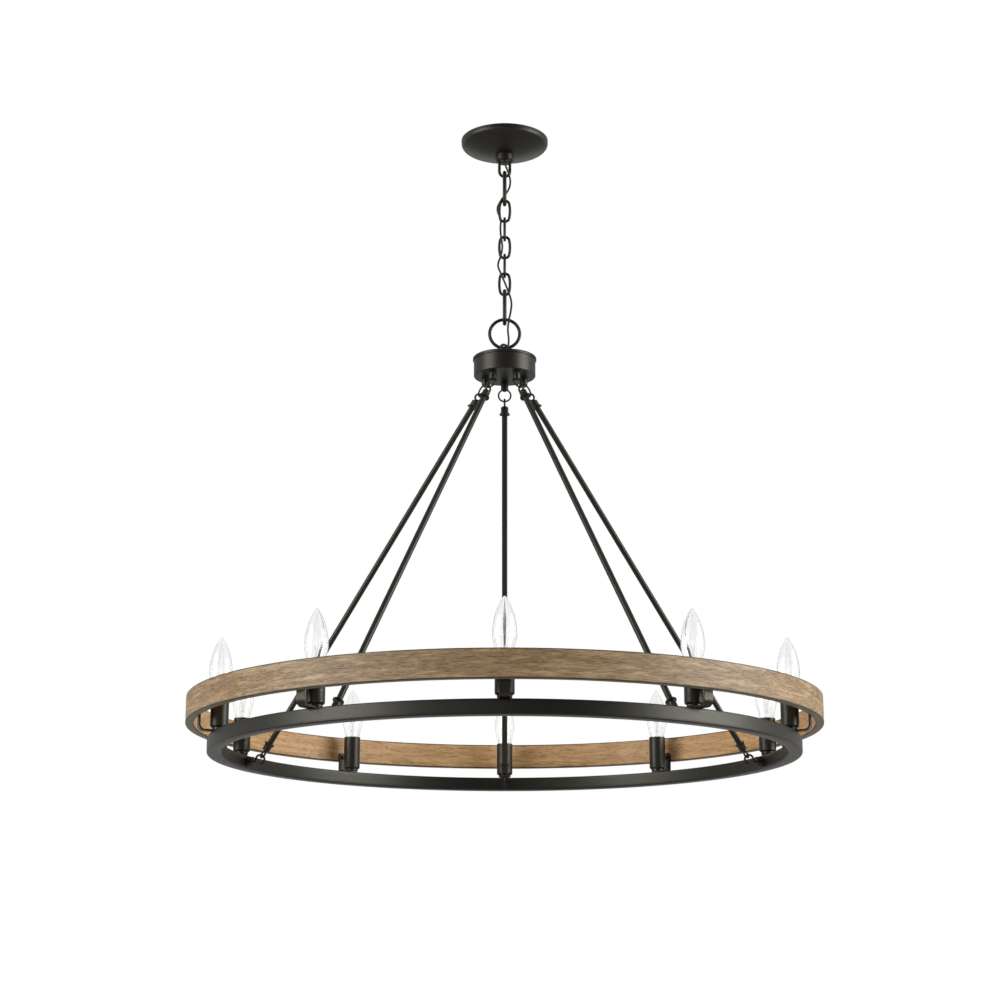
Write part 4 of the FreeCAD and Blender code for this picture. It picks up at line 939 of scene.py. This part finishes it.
@dataclass
class Bulbs:
    """Ten clear torpedo bulbs, each with its brass base, lead wires and hairpin filament."""

    count: int = 10
    circle_radius: float = 415.8 * MM
    first_azimuth: float = 90.0
    lead_start: float = 8.0 * MM  # heights are above the sleeve's rim
    stem_top: float = 20.0 * MM
    shoulder: float = 27.0 * MM
    filament_low: float = 39.0 * MM
    filament_high: float = 66.0 * MM
    lead_spacing: float = 1.1 * MM  # from the bulb's centre line
    foot_spacing: float = 3.6 * MM
    head_spacing: float = 0.9 * MM
    lead_radius: float = 0.16 * MM
    support_radius: float = 0.07 * MM
    coil_radius: float = 0.24 * MM
    coil_wire_radius: float = 0.055 * MM
    coil_pitch: float = 0.9 * MM
    coil_steps: int = 9  # points on each turn

    def hairpin(self) -> list[Vector]:
        """The filament's path in the bulb's own XZ plane, up one leg and down the other.

        Returns:
            The points of the path.
        """
        up = [Vector((self.foot_spacing, 0, self.filament_low)),
            Vector((self.head_spacing, 0, self.filament_high))]
        bend = [
            Vector((self.head_spacing * math.cos(math.radians(angle)), 0,
                    self.filament_high + self.head_spacing * math.sin(math.radians(angle))))
            for angle in range(20, 180, 20)
        ]
        down = [Vector((-point.x, 0, point.z)) for point in reversed(up)]
        return up + bend + down

    def coil(self) -> list[Vector]:
        """The filament's wire, coiled round the hairpin.

        Returns:
            The points of the coiled wire.
        """
        path = self.hairpin()
        lengths = [0.0]
        for one, other in zip(path, path[1:]):
            lengths.append(lengths[-1] + (other - one).length)
        turns = lengths[-1] / self.coil_pitch
        points = []
        for step in range(int(turns * self.coil_steps) + 1):
            distance = lengths[-1] * step / (turns * self.coil_steps)
            leg = max(index for index in range(len(path) - 1) if lengths[index] <= distance)
            share = (distance - lengths[leg]) / (lengths[leg + 1] - lengths[leg])
            centre = path[leg].lerp(path[leg + 1], share)
            tangent = (path[leg + 1] - path[leg]).normalized()
            outwards = Vector((tangent.z, 0, -tangent.x))
            angle = 2 * math.pi * step / self.coil_steps
            points.append(
                centre + (outwards * math.cos(angle) + Vector((0, math.sin(angle), 0))) * self.coil_radius,
            )
        return points

    def leads(self) -> list[list[Vector]]:
        """The two lead wires, from inside the base, through the stem's press and out to each side.

        Returns:
            Each wire's points.
        """
        return [
            [
                Vector((side * self.lead_spacing, 0, self.lead_start)),
                Vector((side * self.lead_spacing, 0, self.stem_top)),
                Vector((side * (self.lead_spacing + 0.5 * MM), 0, self.stem_top + 1.5 * MM)),
                Vector((side * (self.foot_spacing - 0.3 * MM), 0, self.shoulder - 1.0 * MM)),
                Vector((side * self.foot_spacing, 0, self.shoulder)),
            ]
            for side in (1, -1)
        ]

    def supports(self) -> list[list[Vector]]:
        """The thinner wires that carry on from the leads to the filament's feet.

        Returns:
            Each wire's points.
        """
        return [
            [
                Vector((side * self.foot_spacing, 0, self.shoulder - 0.5 * MM)),
                Vector((side * self.foot_spacing, 0, self.filament_low + 1.2 * MM)),
            ]
            for side in (1, -1)
        ]

    def build(self) -> None:
        """Dresses the bulbs and puts their wires and filaments in."""
        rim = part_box("candle_sleeves")[1].z
        inside = {
            wire_piece("bulb_leads", self.leads(), self.lead_radius, 8): LEAD_WIRE,
            wire_piece("bulb_supports", self.supports(), self.support_radius, 6): LEAD_WIRE,
            wire_piece("bulb_filament", [self.coil()], self.coil_wire_radius, 5): TUNGSTEN,
        }
        for piece, finish in inside.items():
            piece.data.transform(Matrix.Translation((self.circle_radius, 0, rim)))
            paint(piece, finish)
        for number in range(1, self.count + 1):
            azimuth = self.first_azimuth + 360 * (number - 1) / self.count
            dress_nodes([f"bulb_glass_{number:02d}"], LAMP_GLASS)
            dress_nodes([f"bulb_base_{number:02d}"], LAMP_BRASS)
            for piece in inside:
                copy = turned_copy(piece, f"{piece.name}_{number:02d}", azimuth)
                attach(copy, f"bulb_{number:02d}")
        for piece in inside:
            bpy.data.objects.remove(piece)
        LOG.info("bulbs: %d", self.count)


@dataclass
class LampCord:
    """The lamp cord, woven through the chain from the pipe in the ceiling down into the hub.

    It is in nine lengths, each with one joint's level in its middle.
    """

    radius: float = 1.5 * MM
    sides: int = 20
    points_per_run: int = 14
    half_bend: float = 13.0 * MM
    bodies: tuple[str, ...] = ("ceiling_fixing", *(f"link_{number}" for number in range(1, 8)), "ring", "hub")
    route: tuple[tuple[float, float, float], ...] = (
        (0.0, 0.0, 0.006), (0.0005, -0.0003, -0.008), (-0.0004, 0.0003, -0.023), (0.0, -0.0004, -0.037),
        (0.0026, -0.0054, -0.0465), (0.0064, -0.0078, -0.0575), (0.0094, -0.0052, -0.070),
        (0.0068, -0.0026, -0.082), (-0.0056, -0.0052, -0.100), (-0.013, -0.0056, -0.1155),
        (-0.0054, -0.0054, -0.1315), (-0.0068, -0.0044, -0.146), (-0.0056, -0.0054, -0.161),
        (-0.003, -0.0064, -0.176), (-0.0052, -0.0054, -0.191), (-0.0116, -0.0044, -0.206),
        (-0.0054, -0.0054, -0.221), (0.0006, -0.0064, -0.236), (0.0062, -0.0056, -0.2505),
        (0.011, -0.0044, -0.266), (0.0094, -0.0046, -0.281), (0.0062, -0.0064, -0.296),
        (0.0044, -0.0082, -0.312), (0.0066, -0.008, -0.327), (0.005, -0.0054, -0.340),
        (0.0001, -0.0002, -0.3505), (0.0, 0.0, -0.361), (0.0, 0.0, -0.371),
    )

    def centre_line(self) -> list[Vector]:
        """Points along the smooth curve that the route's points control.

        Returns:
            The points, from the top down.
        """
        curve = bpy.data.curves.new("cord_route", "CURVE")
        curve.dimensions = "3D"
        curve.resolution_u = self.points_per_run
        spline = curve.splines.new("NURBS")
        spline.points.add(len(self.route) - 1)
        for point, place in zip(spline.points, self.route):
            point.co = (*place, 1.0)
        spline.order_u = 3
        spline.use_endpoint_u = True
        carrier = bpy.data.objects.new("cord_route", curve)
        bpy.context.scene.collection.objects.link(carrier)
        line = bpy.data.meshes.new_from_object(carrier)
        points = [vertex.co.copy() for vertex in line.vertices]
        bpy.data.objects.remove(carrier)
        bpy.data.curves.remove(curve)
        bpy.data.meshes.remove(line)
        return points

    def frames(self, line: list[Vector]) -> list[tuple[Vector, Vector]]:
        """Two directions across the cord at each point, carried along it with no twist.

        Args:
            line: the centre line.

        Returns:
            The two directions at each point.
        """
        across = Vector((1, 0, 0))
        found = []
        for index in range(len(line)):
            tangent = (line[min(index + 1, len(line) - 1)] - line[max(index - 1, 0)]).normalized()
            across = (across - tangent * across.dot(tangent)).normalized()
            found.append((across.copy(), tangent.cross(across)))
        return found

    def length_of_cord(self, name: str, line: list[Vector], frames: list[tuple[Vector, Vector]],
                       start: float) -> bpy.types.Object:
        """One length as a closed tube, with a map of turns round it and metres along it.

        Args:
            name: the piece's name.
            line: the centre line of this length.
            frames: its directions across.
            start: metres of cord above it.

        Returns:
            The piece.
        """
        mesh = bmesh.new()
        layer = mesh.loops.layers.uv.new("UVMap")
        rings, along = [], [start]
        for index, (point, (across, third)) in enumerate(zip(line, frames)):
            if index:
                along.append(along[-1] + (point - line[index - 1]).length)
            rings.append([
                mesh.verts.new(point + (across * math.cos(turn) + third * math.sin(turn)) * self.radius)
                for turn in (2 * math.pi * side / self.sides for side in range(self.sides))
            ])
        for index, (high, low) in enumerate(zip(rings, rings[1:])):
            for side in range(self.sides):
                following = (side + 1) % self.sides
                face = mesh.faces.new((high[side], low[side], low[following], high[following]))
                corners = ((side, index), (side, index + 1), (side + 1, index + 1), (side + 1, index))
                for loop, (turn, row) in zip(face.loops, corners):
                    loop[layer].uv = (turn / self.sides, along[row])
        mesh.faces.new(rings[0])
        mesh.faces.new(list(reversed(rings[-1])))
        return finished_piece(name, mesh)

    def build(self) -> None:
        """Makes the cord's nine lengths, each round one joint's level."""
        line = self.centre_line()
        frames = self.frames(line)
        levels = {joint["child"]: joint["pos_m"][2] for joint in frame["joints"] if joint["child"] in self.bodies}
        joints = [levels[body] for body in self.bodies[1:]]
        cuts = [(one + other) / 2 for one, other in zip(joints, joints[1:])]
        ends = [0]
        for cut in cuts:
            ends.append(next(index for index, point in enumerate(line) if point.z < cut and index > ends[-1]))
        ends.append(len(line) - 1)
        total = 0.0
        for number, (level, first, last) in enumerate(zip(joints, ends, ends[1:]), 1):
            part = line[first:last + 1]
            piece = self.length_of_cord(f"lamp_cord_{number}", part, frames[first:last + 1], total)
            total += sum((other - one).length for one, other in zip(part, part[1:]))
            paint(piece, CORD_BRAID)
            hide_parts("lamp_cord")
            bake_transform(piece)
        LOG.info("lamp cord: %.1f mm long", total / MM)


@dataclass
class Softbox:
    """A large soft lamp that faces the chandelier."""

    name: str
    azimuth: float
    distance: float
    level: float
    width: float
    height: float
    brightness: float  # of its face, where 1 is a white backdrop
    aim: tuple[float, float, float] = (0.0, 0.0, -0.6)
    grid: float = 110.0  # degrees, the width of the beam that its grid lets out


@dataclass
class Studio:
    """A white room: pale floor, bright backdrop, soft lamps at both sides, and the dark behind the camera."""

    floor_level: float = -2.1
    floor_radius: float = 7.0
    floor_sides: int = 96
    ambient: float = 0.45  # of the surroundings as plain light
    mirrored: float = 0.45  # of the surroundings above the horizon as they show in a gloss
    mirrored_below: float = 0.9  # and below it, where the pale floor goes on
    behind: float = 0.12  # of either, behind the camera
    dark_until: float = -0.92  # Y of the direction where that ends
    light_from: float = -0.25  # and where the full level starts
    horizon_top: float = 0.02  # Z of the direction where the sky's level ends
    horizon_foot: float = -0.06  # and where the floor's level starts
    camera_place: tuple[float, float, float] = (0.0, -3.0426, -1.3499)
    camera_tilt: float = 104.288  # degrees from straight down
    lens: float = 76.08  # mm
    sensor: float = 36.0  # mm
    shift: float = -0.00464  # of the picture's width
    softboxes: tuple[Softbox, ...] = field(default_factory=lambda: (
        Softbox("softbox_right", -16.0, 2.6, -0.15, 1.9, 1.8, 7.1),
        Softbox("softbox_left", -150.0, 2.6, -0.15, 1.7, 1.8, 5.9),
        Softbox("card_behind_camera", -108.0, 3.7, -0.45, 2.8, 1.0, 0.9),
    ))

    def build_floor(self) -> None:
        """Lays the floor, a wide disc whose white meets the room's at its rim."""
        deselect()
        bpy.ops.mesh.primitive_circle_add(
            vertices=self.floor_sides, radius=self.floor_radius, fill_type="NGON",
            location=(0, 0, self.floor_level))
        floor = bpy.context.active_object
        floor.name = "floor"
        settle(floor)
        paint(floor, PaleFloor(name="pale_painted_floor"))

    def build_world(self) -> None:
        """Sets the surroundings: white to the eye and through glass, plain light, darker behind the camera."""
        world = bpy.data.worlds.new("white_room")
        bpy.context.scene.world = world
        world.use_nodes = True
        tree = world.node_tree
        tree.nodes.clear()
        way = add_node(tree, "ShaderNodeTexCoord").outputs["Generated"]
        direction = add_node(tree, "ShaderNodeSeparateXYZ", links={0: way})
        room = add_node(
            tree, "ShaderNodeMapRange", {"interpolation_type": "SMOOTHSTEP"},
            {"From Min": self.dark_until, "From Max": self.light_from, "To Min": self.behind, "To Max": 1.0},
            {"Value": direction.outputs["Y"]},
        ).outputs["Result"]
        rays = add_node(tree, "ShaderNodeLightPath")
        mirrored = add_node(
            tree, "ShaderNodeMapRange",
            values={
                "From Min": self.horizon_top, "From Max": self.horizon_foot,
                "To Min": self.mirrored, "To Max": self.mirrored_below,
            },
            links={"Value": direction.outputs["Z"]},
        ).outputs["Result"]
        level = add_node(
            tree, "ShaderNodeMix", {"data_type": "FLOAT"}, {2: self.ambient},
            {0: rays.outputs["Is Glossy Ray"], 3: mirrored},
        ).outputs[0]
        light = add_node(
            tree, "ShaderNodeMath", {"operation": "MULTIPLY"}, links={0: room, 1: level},
        ).outputs[0]
        seen = add_node(
            tree, "ShaderNodeMath", {"operation": "MAXIMUM"},
            links={0: rays.outputs["Is Camera Ray"], 1: rays.outputs["Is Transmission Ray"]},
        ).outputs[0]
        strength = add_node(
            tree, "ShaderNodeMix", {"data_type": "FLOAT"}, {3: 1.0}, {0: seen, 2: light},
        ).outputs[0]
        backdrop = add_node(
            tree, "ShaderNodeBackground", values={"Color": (1.0, 1.0, 1.0, 1.0)},
            links={"Strength": strength})
        add_node(tree, "ShaderNodeOutputWorld", links={"Surface": backdrop.outputs[0]})

    def build_lamps(self) -> None:
        """Hangs the soft lamps, each aimed at the chandelier."""
        for box in self.softboxes:
            angle = math.radians(box.azimuth)
            place = Vector((box.distance * math.cos(angle), box.distance * math.sin(angle), box.level))
            lamp = bpy.data.lights.new(box.name, "AREA")
            lamp.shape = "RECTANGLE"
            lamp.size, lamp.size_y = box.width, box.height
            lamp.spread = math.radians(box.grid)
            half = lamp.spread / 2
            # The last factor keeps the brightness that the lamp would have without its grid
            lamp.energy = math.pi * box.width * box.height * box.brightness * (1 - half / math.tan(half))
            holder = bpy.data.objects.new(box.name, lamp)
            holder.location = place
            holder.rotation_euler = (Vector(box.aim) - place).to_track_quat("-Z", "Y").to_euler()
            bpy.context.scene.collection.objects.link(holder)

    def build_camera(self) -> None:
        """Sets the camera where the photograph was taken from."""
        data = bpy.data.cameras.new("camera")
        data.sensor_width, data.lens, data.shift_x = self.sensor, self.lens, self.shift
        camera = bpy.data.objects.new("camera", data)
        camera.location = self.camera_place
        camera.rotation_euler = (math.radians(self.camera_tilt), 0, 0)
        bpy.context.scene.collection.objects.link(camera)
        bpy.context.scene.camera = camera

    def build(self) -> None:
        """Makes the floor, the surroundings, the lamps and the camera."""
        self.build_camera()
        self.build_floor()
        self.build_world()
        self.build_lamps()
        bpy.context.scene.view_settings.view_transform = "Standard"


def main() -> None:
    """Builds each sub-assembly in order."""
    logging.basicConfig(level=logging.INFO, format="%(name)s: %(message)s")
    Studio().build()
    LampCord().build()
    CeilingFixing().build()
    Chain().build()
    Hub().build()
    Wheel().build()
    Bulbs().build()
    deselect()


if __name__ == "__main__":
    main()
